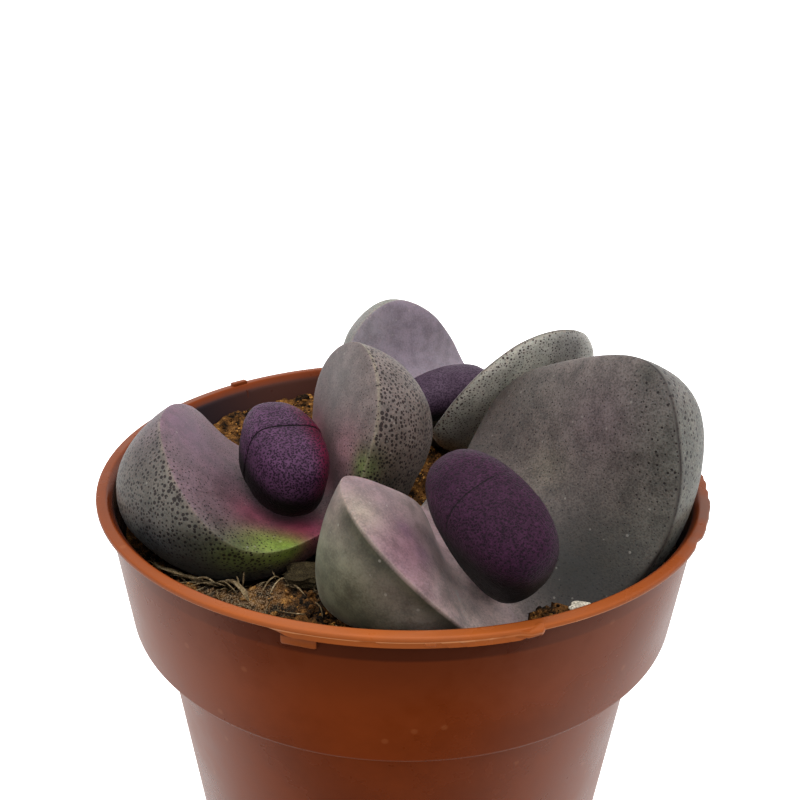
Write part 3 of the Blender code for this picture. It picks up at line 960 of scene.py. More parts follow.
@dataclass(frozen=True)
class Leaf:
    """One grown leaf, from the base that it shares with its twin to its tip.

    Lengths are in metres and angles in degrees. lean_by, widest and deepest are shares of the length: where
    the leaf reaches its lean, its width and its depth. The tips are how bluntly each outline ends, 2 for an
    ellipse. The colours and dots are those of its back and its face, and the last three are strengths.
    """

    length: float
    lean: float
    lean_by: float
    arch: float
    turn: float
    roll: float
    half_width: float
    widest: float
    depth: float
    deepest: float
    back_colour: Colour
    face_colour: Colour
    margin_tip: float = 2.0
    back_tip: float = 2.0
    lopsided: float = 0.0
    back_dots: float = 0.9
    face_dots: float = 0.4
    pale_margin: float = 0.6
    crease: float = 0.0
    band: float = 0.0

    def swelling(self, along: Array, base: float, peak: float, place: float, blunt: float) -> Array:
        """Size along the leaf: from the base out to the peak, then round to nothing at the tip.

        Args:
            along: Places from 0 at the base to 1 at the tip.
            base: Size at the base.
            peak: Largest size.
            place: Where the size is largest.
            blunt: Roundness of the tip.

        Returns:
            The size at each place.
        """
        rising = base + (peak - base) * np.sin(math.pi / 2.0 * np.minimum(along / place, 1.0))
        share = np.clip((along - place) / (1.0 - place), 0.0, 1.0)
        falling = peak * np.maximum(1.0 - share ** blunt, 0.0) ** (1.0 / blunt)
        return np.where(along < place, rising, falling)

    def skin(self, along: Array, angle: Array, heading: float,
             base: tuple[float, float, float, float]) -> Array:
        """Points of the leaf's surface, from the middle of the pair's fissure.

        Args:
            along: Places from base to tip, one a ring.
            angle: Angles round the leaf.
            heading: Direction of the leaf in plan, in radians.
            base: Half width, depth, roll in degrees and sideways shift at the base.

        Returns:
            Points by ring, angle and axis.
        """
        steps = np.linspace(0.0, 1.0, SPINE_STEPS)
        rise = math.radians(self.lean) * smooth(steps / self.lean_by) + math.radians(self.arch) * steps
        swing = heading + math.radians(self.turn) * smooth(steps)
        forward = np.stack((np.cos(rise) * np.cos(swing), np.cos(rise) * np.sin(swing), np.sin(rise)), 1)
        walk = (forward[1:] + forward[:-1]) / 2.0 * self.length / (SPINE_STEPS - 1)
        spine = np.vstack((np.zeros((1, 3)), np.cumsum(walk, axis=0)))
        middle = np.stack([np.interp(along, steps, spine[:, axis]) for axis in range(3)], 1)
        up = np.interp(along, steps, rise)
        round_z = np.interp(along, steps, swing)
        level = np.zeros_like(up)
        side = np.stack((-np.sin(round_z), np.cos(round_z), level), 1)
        inner = np.stack((-np.cos(round_z) * np.sin(up), -np.sin(round_z) * np.sin(up), np.cos(up)), 1)
        roll = np.radians(base[2] + (self.roll - base[2]) * smooth(along))[:, None]
        inner, side = inner * np.cos(roll) + side * np.sin(roll), side * np.cos(roll) - inner * np.sin(roll)
        middle += side * (base[3] * (1.0 - smooth(along / SHIFT_REACH)))[:, None]
        width = self.swelling(along, base[0], self.half_width, self.widest, self.margin_tip)[:, None]
        depth = self.swelling(along, base[1], self.depth, self.deepest, self.back_tip)[:, None]
        fullness = (self.lopsided * smooth(along / 0.5))[:, None]
        crown = (CROWN * (0.3 + 0.7 * smooth(along / 0.5)))[:, None] * width
        bulge = np.sin(angle)[None, :]
        across = np.cos(angle)[None, :]
        height = np.where(bulge > 0.0, -depth * bulge * (1.0 - fullness * across), -crown * bulge)
        return (middle[:, None, :] + side[:, None, :] * (width * across)[:, :, None]
                + inner[:, None, :] * height[:, :, None])


@dataclass(frozen=True)
class LeafPair:
    """A pair of grown leaves fused at the base."""

    name: str
    base: tuple[float, float, float]
    heading: float
    base_half_width: float
    base_depth: float
    base_roll: float
    base_shift: float
    first: Leaf
    second: Leaf
    finish: LeafFinish
    tints: tuple[Tint, ...] = ()
    sides: int = 192
    rings: int = 240

    def reach(self) -> Array:
        """How far along its leaf each ring lies, from 0 in the fissure to 1 at either tip."""
        latitude = np.linspace(math.pi / 2.0, -math.pi / 2.0, self.rings + 1)
        return 0.5 - 0.5 * np.cos(2.0 * np.abs(latitude))

    def grid(self) -> Array:
        """Points of the pair by ring, from the first leaf's tip to the second's, and by side.

        Returns:
            Points by ring, side and axis.
        """
        along = self.reach()
        longitude = np.arange(self.sides) * 2.0 * math.pi / self.sides
        size = (self.base_half_width, self.base_depth)
        heading = math.radians(self.heading)
        half = self.rings // 2 + 1
        first = self.first.skin(along[:half], longitude, heading, (*size, self.base_roll, self.base_shift))
        second = self.second.skin(along[half:], math.pi - longitude, heading + math.pi,
                                  (*size, -self.base_roll, -self.base_shift))
        return np.concatenate((first, second)) + np.array(self.base) + np.array((0.0, 0.0, RIM))

    def build(self, effects: Effects) -> Object:
        """Bend a ball into the pair, paint it and show it.

        Args:
            effects: The shared shader groups.

        Returns:
            The new piece.
        """
        grid = self.grid()
        mesh, ring, side = Bench.ball(f"{self.name}_leaves_skin", self.sides, self.rings)
        Bench.place(mesh, grid[ring, side])
        Bench.face_out(mesh)
        layers = self.painting(grid, self.rim(grid))
        Bench.numbers(mesh, **{name: layers[name][ring, side] for name in ("margin", "fold", "dots")})
        Bench.colour(mesh, "ground", layers["ground"][ring, side])
        Bench.swell(mesh, self.relief(mesh))
        Bench.vector(mesh, "outward", Bench.normals(mesh))
        return Bench.show(mesh, self.finish.material(effects), Slot.LEAF, f"{self.name}_leaves")

    @staticmethod
    def relief(mesh: Mesh) -> Array:
        """Faint unevenness of the skin.

        Args:
            mesh: The leaves' mesh.

        Returns:
            How far each point moves out.
        """
        broad, fine = 5.5 * MM, 1.6 * MM
        return np.array([
            0.07 * MM * noise.noise(place / broad) + 0.02 * MM * noise.noise(place / fine)
            for place in map(Vector, Bench.points(mesh))
        ])

    def rim(self, grid: Array) -> Array:
        """Distances over the skin from the margin.

        Args:
            grid: Points by ring, side and axis.

        Returns:
            Millimetres by ring and side, above 0 on the backs and below 0 on the faces.
        """
        half = self.sides // 2
        closed = np.concatenate((grid, grid[:, :1]), axis=1)
        steps = np.linalg.norm(np.diff(closed, axis=1), axis=2) / MM
        reach = np.concatenate((np.zeros((len(grid), 1)), np.cumsum(steps, axis=1)), axis=1)
        back_length = reach[:, half:half + 1]
        face_length = reach[:, -1:] - back_length
        across = reach[:, :-1]
        on_back = np.arange(self.sides)[None, :] <= half
        face_across = across - back_length
        return np.where(on_back, np.minimum(across, back_length - across),
                        -np.minimum(face_across, face_length - face_across))

    def painting(self, grid: Array, rim: Array) -> dict[str, Array]:
        """Ground colour, and strengths of the dots, the pale margin and the dark crease beside it.

        Args:
            grid: Points by ring, side and axis.
            rim: Millimetres from the margin, above 0 on the backs.

        Returns:
            Arrays by ring and side.
        """
        middle = self.rings // 2
        along = self.reach()[:, None]
        blend = smooth(0.5 + (np.arange(self.rings + 1)[:, None] - middle) / (self.rings * FISSURE_BLEND))
        on_back = smooth(0.5 + rim / BACK_EDGE)
        spots = smooth(0.5 + rim / SPOTS_EDGE)

        def share(name: str) -> Array:
            """One value of both leaves, eased from one leaf to the other across the fissure.

            Args:
                name: Name of a leaf's field.

            Returns:
                The value by ring.
            """
            first, second = np.array(getattr(self.first, name)), np.array(getattr(self.second, name))
            return mixed(first, second, blend[..., None] if first.ndim else blend)

        ground = mixed(share("face_colour"), share("back_colour"), on_back)
        dots = mixed(share("face_dots"), share("back_dots"), spots)
        dots *= 1.0 + EDGE_DOTS * bell(rim, *EDGE_DOTS_AT)
        turn = np.arange(self.sides)[None, :] / self.sides
        on_second = np.arange(self.rings + 1)[:, None] > middle
        from_left = np.where(on_second, np.abs(turn - 0.5), np.minimum(turn, 1.0 - turn))
        # Tints: the leaves' own patches of colour, and painted shade and painted light
        for tint in self.tints:
            centre = self.spot(grid, tint)
            distance = np.linalg.norm(grid - centre, axis=2)
            weight = tint.strength * bell(distance, 0.0, tint.radius * MM)
            ground = mixed(ground, tint.colour, weight)
            if tint.dots is not None:
                dots = mixed(dots, tint.dots, weight)
        band = share("band") * bell(rim, 0.0, BAND_WIDTH) * smooth(rim / BAND_EDGE) * (from_left < 0.25)
        ground = mixed(ground, BAND_COLOUR, band * smooth((BAND_END - along) / BAND_FADE))
        margin = share("pale_margin") * bell(rim, *MARGIN_AT) * smooth(along / 0.25)
        from_right = np.where(on_second, np.minimum(turn, 1.0 - turn), np.abs(turn - 0.5))
        fold = share("crease") * bell(rim, *CREASE_AT) * (from_right < 0.25) * smooth(along / 0.3)
        return {"ground": ground, "dots": dots, "margin": margin, "fold": fold}

    def spot(self, grid: Array, tint: Tint) -> Array:
        """Point of the skin where a tint is centred.

        Args:
            grid: Points by ring, side and axis.
            tint: The tint.

        Returns:
            The point.
        """
        latitude = math.acos(1.0 - 2.0 * tint.along) / 2.0
        if tint.leaf is Twin.SECOND:
            latitude, angle = -latitude, 180.0 - tint.angle
        else:
            angle = tint.angle
        ring = round((math.pi / 2.0 - latitude) / math.pi * self.rings)
        side = round(angle / 360.0 * self.sides) % self.sides
        return grid[ring, side]


@dataclass(frozen=True)
class YoungPair:
    """The young leaves in a fissure, pressed together along a thin seam."""

    name: str
    place: tuple[float, float, float]
    size: tuple[float, float, float]
    turn: tuple[float, float, float]
    taper: float
    boxiness: float
    finish: YoungFinish
    seam_place: float = 0.0
    seam_range: tuple[float, float] = (0.0, 180.0)
    step: float = 0.02
    rose_side: float = 0.0
    ash_side: float = 0.0
    foot_from: float = 0.1
    squareness: float = 2.3
    fissure_depth: float = 0.1 * MM
    fissure_width: float = 0.14 * MM
    seam_tone: float = 1.0
    sides: int = 280
    rings: int = 150

    def build(self, effects: Effects) -> Object:
        """Shape the pair, pebble its skin and show it.

        Args:
            effects: The shared shader groups.

        Returns:
            The new piece.
        """
        mesh, ring, side = Bench.ball(f"{self.name}_young_leaves_skin", self.sides, self.rings)
        inward, rise = self.fuller(math.pi / 2.0 - math.pi * ring / self.rings, self.boxiness)
        ahead, aside = self.fuller(2.0 * math.pi * side / self.sides, self.squareness)
        reach = inward * (1.0 + self.taper * rise)
        local = np.stack((self.size[0] * ahead * reach, self.size[1] * aside * reach, self.size[2] * rise), 1)
        length = np.linalg.norm(local, axis=1)
        latitude = np.arcsin(np.clip(np.sign(rise) * np.abs(rise) ** (self.boxiness / 2.0), -1.0, 1.0))
        fade = smooth((latitude + 0.9) / 0.9)
        off_seam = local[:, 1] - self.seam_place
        groove = bell(off_seam, 0.0, self.fissure_width) * fade * self.fissure_depth / length
        ledge = self.step * smooth(0.5 + off_seam / (0.3 * MM))
        shaped = local * (1.0 - groove + ledge - self.step)[:, None]
        self.store(mesh, local, rise)
        heading, tilt_along, tilt_across = (math.radians(angle) for angle in self.turn)
        turn = Matrix.Rotation(heading, 4, "Z")
        turn @= Matrix.Rotation(-tilt_across, 4, "X") @ Matrix.Rotation(tilt_along, 4, "Y")
        turned = shaped @ np.array(turn.to_3x3()).T + np.array(self.place) + np.array((0.0, 0.0, RIM))
        Bench.place(mesh, turned)
        Bench.face_out(mesh)
        Bench.swell(mesh, self.pebbles(mesh))
        return Bench.show(mesh, self.finish.material(effects), Slot.YOUNG, f"{self.name}_young_leaves")

    @staticmethod
    def fuller(angle: Array, power: float) -> tuple[Array, Array]:
        """Points of a curve that is fuller than a circle.

        Args:
            angle: Angles round the curve.
            power: 2 for a circle, more for a boxier curve.

        Returns:
            The first and second coordinate of each point.
        """
        first, second = np.cos(angle), np.sin(angle)
        reach = (np.abs(first) ** power + np.abs(second) ** power) ** (-1.0 / power)
        return first * reach, second * reach

    def store(self, mesh: Mesh, local: Array, rise: Array) -> None:
        """Store what the finish reads: places over the skin, the seam and the shaded parts.

        Args:
            mesh: The pair's mesh.
            local: Points before they are turned, along the fissure, across it and up.
            rise: Height of each point as a share of the pair's half height.
        """
        Bench.vector(mesh, "skin", local / MM)
        angle = np.degrees(np.arctan2(local[:, 2], local[:, 0]))
        low, high = self.seam_range
        strength = smooth((angle - low + 15.0) / 25.0) * smooth((high + 15.0 - angle) / 25.0)
        along = local[:, 0] / self.size[0]
        Bench.numbers(
            mesh, seam=(local[:, 1] - self.seam_place) / MM, seam_strength=self.seam_tone * strength,
            rose=self.rose_side * smooth(along * 1.5 - 0.1 * rise),
            ash=self.ash_side * smooth(-along * 0.7 + 0.1 - 0.6 * rise),
            foot=smooth((self.foot_from - rise) / 0.5))

    @staticmethod
    def pebbles(mesh: Mesh) -> Array:
        """Relief of the pebbled skin.

        Args:
            mesh: The pair's mesh.

        Returns:
            How far each point moves out.
        """
        size, height = 0.55 * MM, 0.05 * MM
        amounts = []
        for point in Bench.points(mesh):
            place = Vector(point) / size
            nearest = noise.voronoi(place)[0][0]
            amounts.append(height * (0.45 - nearest) + height * noise.noise(place / 4.0))
        return np.array(amounts)


@dataclass(frozen=True)
class Pot:
    """The moulded nursery pot: turned wall, drainage holes, and the marks that the mould left on its lip."""

    height: float = RIM
    steps: int = 288
    lip_radius: float = 42.5 * MM
    lip_inner: float = 41.1 * MM
    lip_height: float = 0.65 * MM
    band_radius: float = 42.2 * MM
    band_height: float = 0.75 * MM
    collar_top: float = 41.3 * MM
    collar_bottom: float = 39.6 * MM
    collar_depth: float = 18.8 * MM
    body_top: float = 36.1 * MM
    body_base: float = 30.2 * MM
    wall: float = 1.0 * MM
    foot_width: float = 3.0 * MM
    foot_recess: float = 1.4 * MM
    floor: float = 1.2 * MM
    drain_radius: float = 3.2 * MM
    drain_circle: float = 17.0 * MM
    drains: int = 5
    # Unevenness of the lip: three waves and seven ripples round it, and the deepest nick
    wave_height: float = 0.12 * MM
    ripple_height: float = 0.05 * MM
    nick_depth: float = 0.9     # millimetres
    # Where the lip was knocked: degrees round the pot, spread and strength
    knocks: tuple[tuple, ...] = ((-12.0, 12.0, 1.0), (-32.0, 3.0, 0.7))
    # Tabs, flash and a seam: degrees round the pot, then radius, height, size and roughness in millimetres
    lumps: tuple[tuple, ...] = (
        (-104.8, 41.2, -2.35, (1.0, 4.0, 1.3), 0.0),
        (135.0, 41.8, 0.0, (1.2, 3.0, 0.9), 0.0),
        (-73.5, 42.0, -0.75, (1.1, 4.6, 1.1), 0.5),
        (-86.3, 41.9, -1.0, (0.9, 1.2, 0.7), 0.2),
        (134.0, 40.35, -9.5, (0.35, 0.3, 17.0), 0.0),
    )

    def profile(self) -> list[tuple[float, float, float]]:
        """Corners of the wall's section and the radius that rounds each one.

        Returns:
            Radius, height and rounding of each corner, from the inside floor over the lip to the foot.
        """
        low = self.height - self.collar_depth
        lip = self.height - self.lip_height
        floor = self.foot_recess + self.floor
        return [
            (0.0, floor, 0.0),
            (self.body_base - self.wall, floor, 0.8 * MM),
            (self.body_top - self.wall, low + self.wall, 0.35 * MM),
            (self.collar_bottom - self.wall, low + self.wall, 0.7 * MM),
            (self.collar_top - self.wall, lip - self.lip_height, 0.5 * MM),
            (self.lip_inner, self.height - 0.05 * MM, 0.28 * MM),
            (self.lip_radius, self.height, 0.30 * MM),
            (self.lip_radius, lip, 0.15 * MM),
            (self.band_radius, lip - 0.04 * MM, 0.0),
            (self.band_radius, lip - 0.12 * MM, 0.0),
            (self.collar_top, lip - 0.14 * MM, 0.0),
            (self.collar_bottom, low, 0.55 * MM),
            (self.body_top, low, 0.30 * MM),
            (self.body_base, 0.0, 0.5 * MM),
            (self.body_base - self.foot_width, 0.0, 0.3 * MM),
            (self.body_base - self.foot_width, self.foot_recess, 0.3 * MM),
            (0.0, self.foot_recess, 0.0),
        ]

    @staticmethod
    def rounded(corners: list[tuple[float, float, float]], steps: int = 4) -> list[Vector]:
        """Round the corners of a section.

        Args:
            corners: Radius, height and rounding of each corner.
            steps: Straight pieces in each rounding.

        Returns:
            Points of the section in the XZ plane.
        """
        points = []
        for index, (radius, height, bend) in enumerate(corners):
            corner = Vector((radius, 0.0, height))
            if not bend:
                points.append(corner)
                continue
            before = Vector((corners[index - 1][0], 0.0, corners[index - 1][1]))
            after = Vector((corners[index + 1][0], 0.0, corners[index + 1][1]))
            start = corner + (before - corner).normalized() * bend
            end = corner + (after - corner).normalized() * bend
            for step in range(steps + 1):
                share = step / steps
                points.append(start.lerp(corner, share).lerp(corner.lerp(end, share), share))
        return points

    def block(self, angle: float, radius: float, level: float, size: tuple[float, float, float],
              rough: float) -> Mesh:
        """Make a small lump of plastic on the lip, with softened edges and sunk into the wall.

        Args:
            angle: Degrees round the pot.
            radius: Distance of its middle from the axis.
            level: Height of its middle from the rim.
            size: Depth, width and height.
            rough: How uneven it is, in millimetres.

        Returns:
            The lump as a mesh.
        """
        bm = bmesh.new()
        bmesh.ops.create_cube(bm, size=1.0)
        bmesh.ops.scale(bm, vec=size, verts=bm.verts)
        bmesh.ops.bevel(bm, geom=list(bm.edges), offset=min(size) * 0.3, segments=2, profile=0.5,
                        affect="EDGES", material=-1)
        if rough:
            bmesh.ops.subdivide_edges(bm, edges=list(bm.edges), cuts=2, use_grid_fill=True)
            for vert in bm.verts:
                vert.co += noise.noise_vector(vert.co / (0.9 * MM) + Vector((angle, 0.0, 0.0))) * rough * MM
        out = Matrix.Translation((radius, 0.0, self.height + level))
        bmesh.ops.transform(bm, matrix=Matrix.Rotation(math.radians(angle), 4, "Z") @ out, verts=bm.verts)
        Bench.outwards(bm)
        return Bench.mesh("lump", bm)

    def marks(self) -> list[Mesh]:
        """Tabs, flash and a seam that the mould left.

        Returns:
            One mesh for each.
        """
        return [
            self.block(angle, radius * MM, level * MM, tuple(side * MM for side in size), rough)
            for angle, radius, level, size, rough in self.lumps
        ]

    def drain_holes(self) -> Mesh:
        """The drainage holes, as one mesh to cut from the floor.

        Returns:
            The mesh.
        """
        bm = bmesh.new()
        for index in range(self.drains):
            angle = 2.0 * math.pi * index / self.drains + math.pi / 2.0
            across, back = self.drain_circle * math.cos(angle), self.drain_circle * math.sin(angle)
            bmesh.ops.create_cone(bm, cap_ends=True, segments=48, radius1=self.drain_radius,
                                  radius2=self.drain_radius, depth=4 * self.floor,
                                  matrix=Matrix.Translation((across, back, self.foot_recess)))
        return Bench.mesh("drain_holes", bm)

    def nick(self, mesh: Mesh) -> None:
        """Wave the lip a little and nibble its edge where it was knocked.

        Args:
            mesh: The turned pot.
        """
        points = Bench.points(mesh)
        radius, angle = polar(points)
        lip = smooth((points[:, 2] - self.height + 1.6 * MM) / (1.0 * MM))
        lip *= radius > self.lip_inner - 0.2 * MM
        wave = (self.wave_height * np.sin(np.radians(angle * 3.0 + 40.0))
                + self.ripple_height * np.sin(np.radians(angle * 7.0)))
        knocked = sum(strength * bell(angle, at, spread) for at, spread, strength in self.knocks)
        bites = np.array([abs(noise.noise(Vector((a * 0.9, 3.0, 0.0)))) for a in angle])
        outer = smooth((radius - self.lip_radius + 0.8 * MM) / (0.7 * MM))
        shrink = lip * outer * knocked * bites * self.nick_depth * MM
        points[:, :2] *= (1.0 - shrink / np.maximum(radius, self.wall))[:, None]
        points[:, 2] += lip * (wave - 0.17 * MM) * 0.5
        front = smooth((angle + 109.0) / 4.0) * smooth((-70.0 - angle) / 4.0)
        below = np.abs(points[:, 2] - self.height + self.lip_height + 0.3 * MM) < 0.25 * MM
        points[:, 2] -= front * self.band_height * (below & (radius > self.collar_top - 0.1 * MM))
        Bench.place(mesh, points)
        mesh.update()

    def build(self, effects: Effects, finish: PlasticFinish) -> Object:
        """Turn the pot, mark it and show it.

        Args:
            effects: The shared shader groups.
            finish: The plastic.

        Returns:
            The new piece.
        """
        bm = bmesh.new()
        verts = [bm.verts.new(point) for point in self.rounded(self.profile())]
        edges = [bm.edges.new(pair) for pair in zip(verts, verts[1:])]
        bmesh.ops.spin(bm, geom=verts + edges, cent=(0.0, 0.0, 0.0), axis=(0.0, 0.0, 1.0),
                       angle=2.0 * math.pi, steps=self.steps, use_merge=True)
        bmesh.ops.remove_doubles(bm, verts=bm.verts, dist=0.001 * MM)
        Bench.outwards(bm)
        mesh = Bench.cut(Bench.mesh("pot_shell", bm), self.drain_holes())
        self.nick(mesh)
        bm = bmesh.new()
        for part in (mesh, *self.marks()):
            bm.from_mesh(part)
        bm.to_mesh(mesh)
        bm.free()
        mesh.shade_smooth()
        mesh.set_sharp_from_angle(angle=math.radians(40.0))
        self.paint_masks(mesh)
        return Bench.show(mesh, finish.material(effects), Slot.PLASTIC, "pot")

    def paint_masks(self, mesh: Mesh) -> None:
        """Store what the finish reads: front, painted light on the lip and tabs, inside, its shaded parts,
        and scuffs with a painted reflection.

        Args:
            mesh: The finished pot.
        """
        points = Bench.points(mesh)
        radius, angle = polar(points)
        from_back = np.abs(angle)
        below = self.height - points[:, 2]
        front = bell(angle, -90.0, 42.0)
        lip = smooth((radius - self.collar_top + 0.25 * MM) / (0.3 * MM))
        low = self.height - self.collar_depth + 0.5 * MM
        outer = np.interp(points[:, 2], (0.0, low, low, self.height),
                          (self.body_base, self.body_top, self.collar_bottom, self.collar_top))
        inside = smooth((below - 0.6 * MM) / (0.8 * MM)) * (radius < outer - 0.5 * MM)
        gap = np.maximum(bell(from_back, 158.0, 26.0), bell(angle, -14.0, 20.0))
        # Scuffs on the lip, strongest at the right, and more of the same coat at the left as a painted
        # reflection
        wear_and_reflection_by_angle = 0.15 + 0.75 * bell(angle, -24.0, 14.0) + 0.5 * bell(from_back, 165.0, 25.0)
        # The lip mask holds painted light, strongest at the front
        Bench.numbers(
            mesh, front=front, outside=radius > self.lip_inner, lip=lip * (0.12 + 0.88 * front),
            tab=0.6 * ((radius > self.collar_top + 0.2 * MM) & (below > 2.0 * MM)), inside=inside,
            shade=0.9 * inside * gap, wear=lip * smooth((3.0 * MM - below) / (1.0 * MM)) * wear_and_reflection_by_angle)


@dataclass
class Soil:
    """The filled soil: a bed that dips under the leaves, and loose crumbs on it."""

    leaves: BVHTree
    level: float = -6.5 * MM
    rise_to_back: float = 0.05
    fall_to_right: float = 0.03
    mound: tuple[float, float, float, float] = (16.5 * MM, -32.5 * MM, 5.2 * MM, 6.5 * MM)
    cells: int = 250
    seat_cells: int = 90
    seat_gap: float = 0.55 * MM
    seat_reach: float = 1.5 * MM
    wall_gap: float = 0.35 * MM
    root_gap: float = 0.3 * MM
    root_tip: float = 1.0 * MM
    top_widening: float = 1.0 * MM
    seat_relief: float = 0.3
    crumb_wall_gap: float = 0.4 * MM
    crumb_leaf_gap: float = 1.5 * MM
    crumb_clearance: float = 1.25
    crumb_lift: float = 0.3
    # Height and spread of each size of swell of the smooth soil
    swells: tuple[tuple[float, float], ...] = ((0.8 * MM, 7.0 * MM), (0.45 * MM, 3.6 * MM))
    # Spread and height of each size of packed crumb
    packed: tuple[tuple[float, float], ...] = (
        (2.2 * MM, 0.95 * MM), (1.1 * MM, 0.65 * MM), (0.6 * MM, 0.3 * MM))
    # Count, smallest and largest measure and detail of each size of loose crumb
    loose: tuple[tuple[int, float, float, int], ...] = ((1400, 0.26, 0.68, 2), (6800, 0.12, 0.36, 1))
    crumb_shapes: int = 12

    def inside(self, radius: float) -> float:
        """Radius of the soil where the pot's outside has this radius."""
        return radius - Pot.wall - self.wall_gap

    def open_height(self, x: float, y: float) -> float:
        """Height of the soil where no leaf lies over it, without its crumbs.

        Args:
            x: Place from the axis.
            y: Place from the axis.

        Returns:
            The height.
        """
        height = RIM + self.level + self.rise_to_back * y - self.fall_to_right * x
        across, back, rise, spread = self.mound
        height += rise * math.exp(-(math.hypot(x - across, y - back) / spread) ** 2)
        for size, spread in self.swells:
            height += size * noise.noise(Vector((x / spread, y / spread, size / MM)))
        return height

    def crumble(self, x: float, y: float) -> float:
        """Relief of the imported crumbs, in metres above the smooth soil.

        Args:
            x: Place from the axis.
            y: Place from the axis.

        Returns:
            The relief.
        """
        relief = 0.0
        for size, amount in self.packed:
            place = Vector((x / size, y / size, amount / MM))
            place += noise.noise_vector(place * 0.8) * 0.5
            relief += amount * (0.55 - noise.voronoi(place)[0][0])
        return relief + 0.1 * MM * noise.noise(Vector((x, y, 0.0)) / (0.35 * MM))

    def root_hole(self, x: Array, y: Array, name: str) -> Array:
        """Height of the hole that a taproot stands in, a little wider than the root.

        Args:
            x: Places from the pot's axis.
            y: Places from the pot's axis.
            name: The taproot's node.

        Returns:
            The hole's height at each place, very high beside it.
        """
        low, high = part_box(name)
        wide = (high.x - low.x) / 2.0 + self.root_gap
        narrow = self.root_tip + self.root_gap
        away = np.hypot(x - (low.x + high.x) / 2.0, y - (low.y + high.y) / 2.0)
        share = np.clip((away - narrow) / (wide - narrow), 0.0, 1.0)
        return np.where(away < wide, low.z - self.root_gap + share * (high.z - low.z), 1.0)

    def seats(self) -> tuple[Array, Array]:
        """Lowest leaf surface above each place of a coarse grid.

        Returns:
            The grid's places along one side, and heights by y and x, very high where no leaf is.
        """
        places = np.linspace(-Pot.lip_radius, Pot.lip_radius, self.seat_cells)
        heights = np.full((self.seat_cells, self.seat_cells), 1.0)
        turns = [number * math.pi / 4.0 for number in range(8)]
        offsets = [(0.0, 0.0)]
        offsets += [(self.seat_reach * math.cos(turn), self.seat_reach * math.sin(turn)) for turn in turns]
        for row, y in enumerate(places):
            for column, x in enumerate(places):
                for dx, dy in offsets:
                    hit = self.leaves.ray_cast(Vector((x + dx, y + dy, 0.0)), UP)[0]
                    if hit is not None:
                        heights[row, column] = min(heights[row, column], hit.z)
        return places, heights

    def seat_at(self, places: Array, heights: Array, x: Array, y: Array) -> Array:
        """Lowest leaf height near each point, from the coarse grid's four corners round it.

        Args:
            places: The coarse grid's places along one side.
            heights: Its heights by y and x.
            x: Places from the axis.
            y: Places from the axis.

        Returns:
            The lowest height at each point.
        """
        step = places[1] - places[0]
        column, row = (np.clip(((at - places[0]) / step).astype(int), 0, len(places) - 2) for at in (x, y))
        return np.minimum.reduce([heights[row + i, column + j] for i in (0, 1) for j in (0, 1)])

    def bed(self, effects: Effects, finish: EarthFinish, roots: list[str]) -> Object:
        """Build the bed: a round crumbly top over a side that follows the pot's inside.

        Args:
            effects: The shared shader groups.
            finish: The soil.
            roots: Nodes of the taproots that stand in it.

        Returns:
            The new piece.
        """
        collar = Pot.height - Pot.collar_depth + Pot.wall + self.wall_gap
        top_radius = self.inside(Pot.collar_bottom) + self.top_widening
        bm = bmesh.new()
        bmesh.ops.create_grid(bm, x_segments=self.cells, y_segments=self.cells, size=1.0)
        places, heights = self.seats()
        flat = np.array([vert.co[:2] for vert in bm.verts])
        x = flat[:, 0] * np.sqrt(1.0 - flat[:, 1] ** 2 / 2.0) * top_radius
        y = flat[:, 1] * np.sqrt(1.0 - flat[:, 0] ** 2 / 2.0) * top_radius
        seat = self.seat_at(places, heights, x, y) - self.seat_gap
        holes = np.minimum.reduce([self.root_hole(x, y, name) for name in roots])
        for vert, px, py, limit, hole in zip(bm.verts, x, y, seat, holes):
            crumble = self.crumble(px, py)
            height = self.open_height(px, py) + crumble
            vert.co = (px, py, min(height, limit + self.seat_relief * crumble, hole))
        levels = (
            (self.inside(Pot.collar_bottom), collar),
            (self.inside(Pot.body_top), collar),
            (self.inside(Pot.body_base), Pot.foot_recess + Pot.floor + self.wall_gap),
        )
        border = [edge for edge in bm.edges if edge.is_boundary]
        for radius, level in levels:
            grown = bmesh.ops.extrude_edge_only(bm, edges=border)["geom"]
            border = [item for item in grown if isinstance(item, bmesh.types.BMEdge)]
            for vert in (item for item in grown if isinstance(item, bmesh.types.BMVert)):
                share = radius / math.hypot(vert.co.x, vert.co.y)
                vert.co = (vert.co.x * share, vert.co.y * share, level)
        bmesh.ops.contextual_create(bm, geom=border)
        bmesh.ops.triangulate(bm, faces=[face for face in bm.faces if len(face.verts) > 4])
        Bench.outwards(bm)
        mesh = Bench.mesh("soil_bed", bm)
        self.store_tones(mesh, self.tones(mesh))
        return Bench.show(mesh, finish.material(effects), Slot.SOIL, "soil")

    @staticmethod
    def tones(mesh: Mesh) -> Array:
        """Lighter and darker places of the bed.

        Args:
            mesh: The bed.

        Returns:
            A tone a point.
        """
        broad, fine = 1.5 * MM, 0.6 * MM
        return np.array([
            0.3 * noise.noise(place / broad) + 0.2 * noise.noise(place / fine) - 0.05
            for place in map(Vector, Bench.points(mesh))
        ])

    @staticmethod
    def store_tones(mesh: Mesh, tones: Array) -> None:
        """Store the soil's tones, darker at the front right, and its pale patch at the front left, partly
        dust and partly painted light where the soil lies in shade.

        Args:
            mesh: The bed or the crumbs.
            tones: How light each point is.
        """
        x, y = Bench.points(mesh)[:, :2].T
        front_right_darkening = 0.07 * smooth((x + 19.0 * MM) / (5.0 * MM)) * smooth(-y / (8.0 * MM))
        dusty = 0.8 * bell(np.hypot(x + 20.0 * MM, y + 26.0 * MM), 0.0, 5.2 * MM)
        Bench.numbers(mesh, tone=tones - front_right_darkening, dusty=dusty)

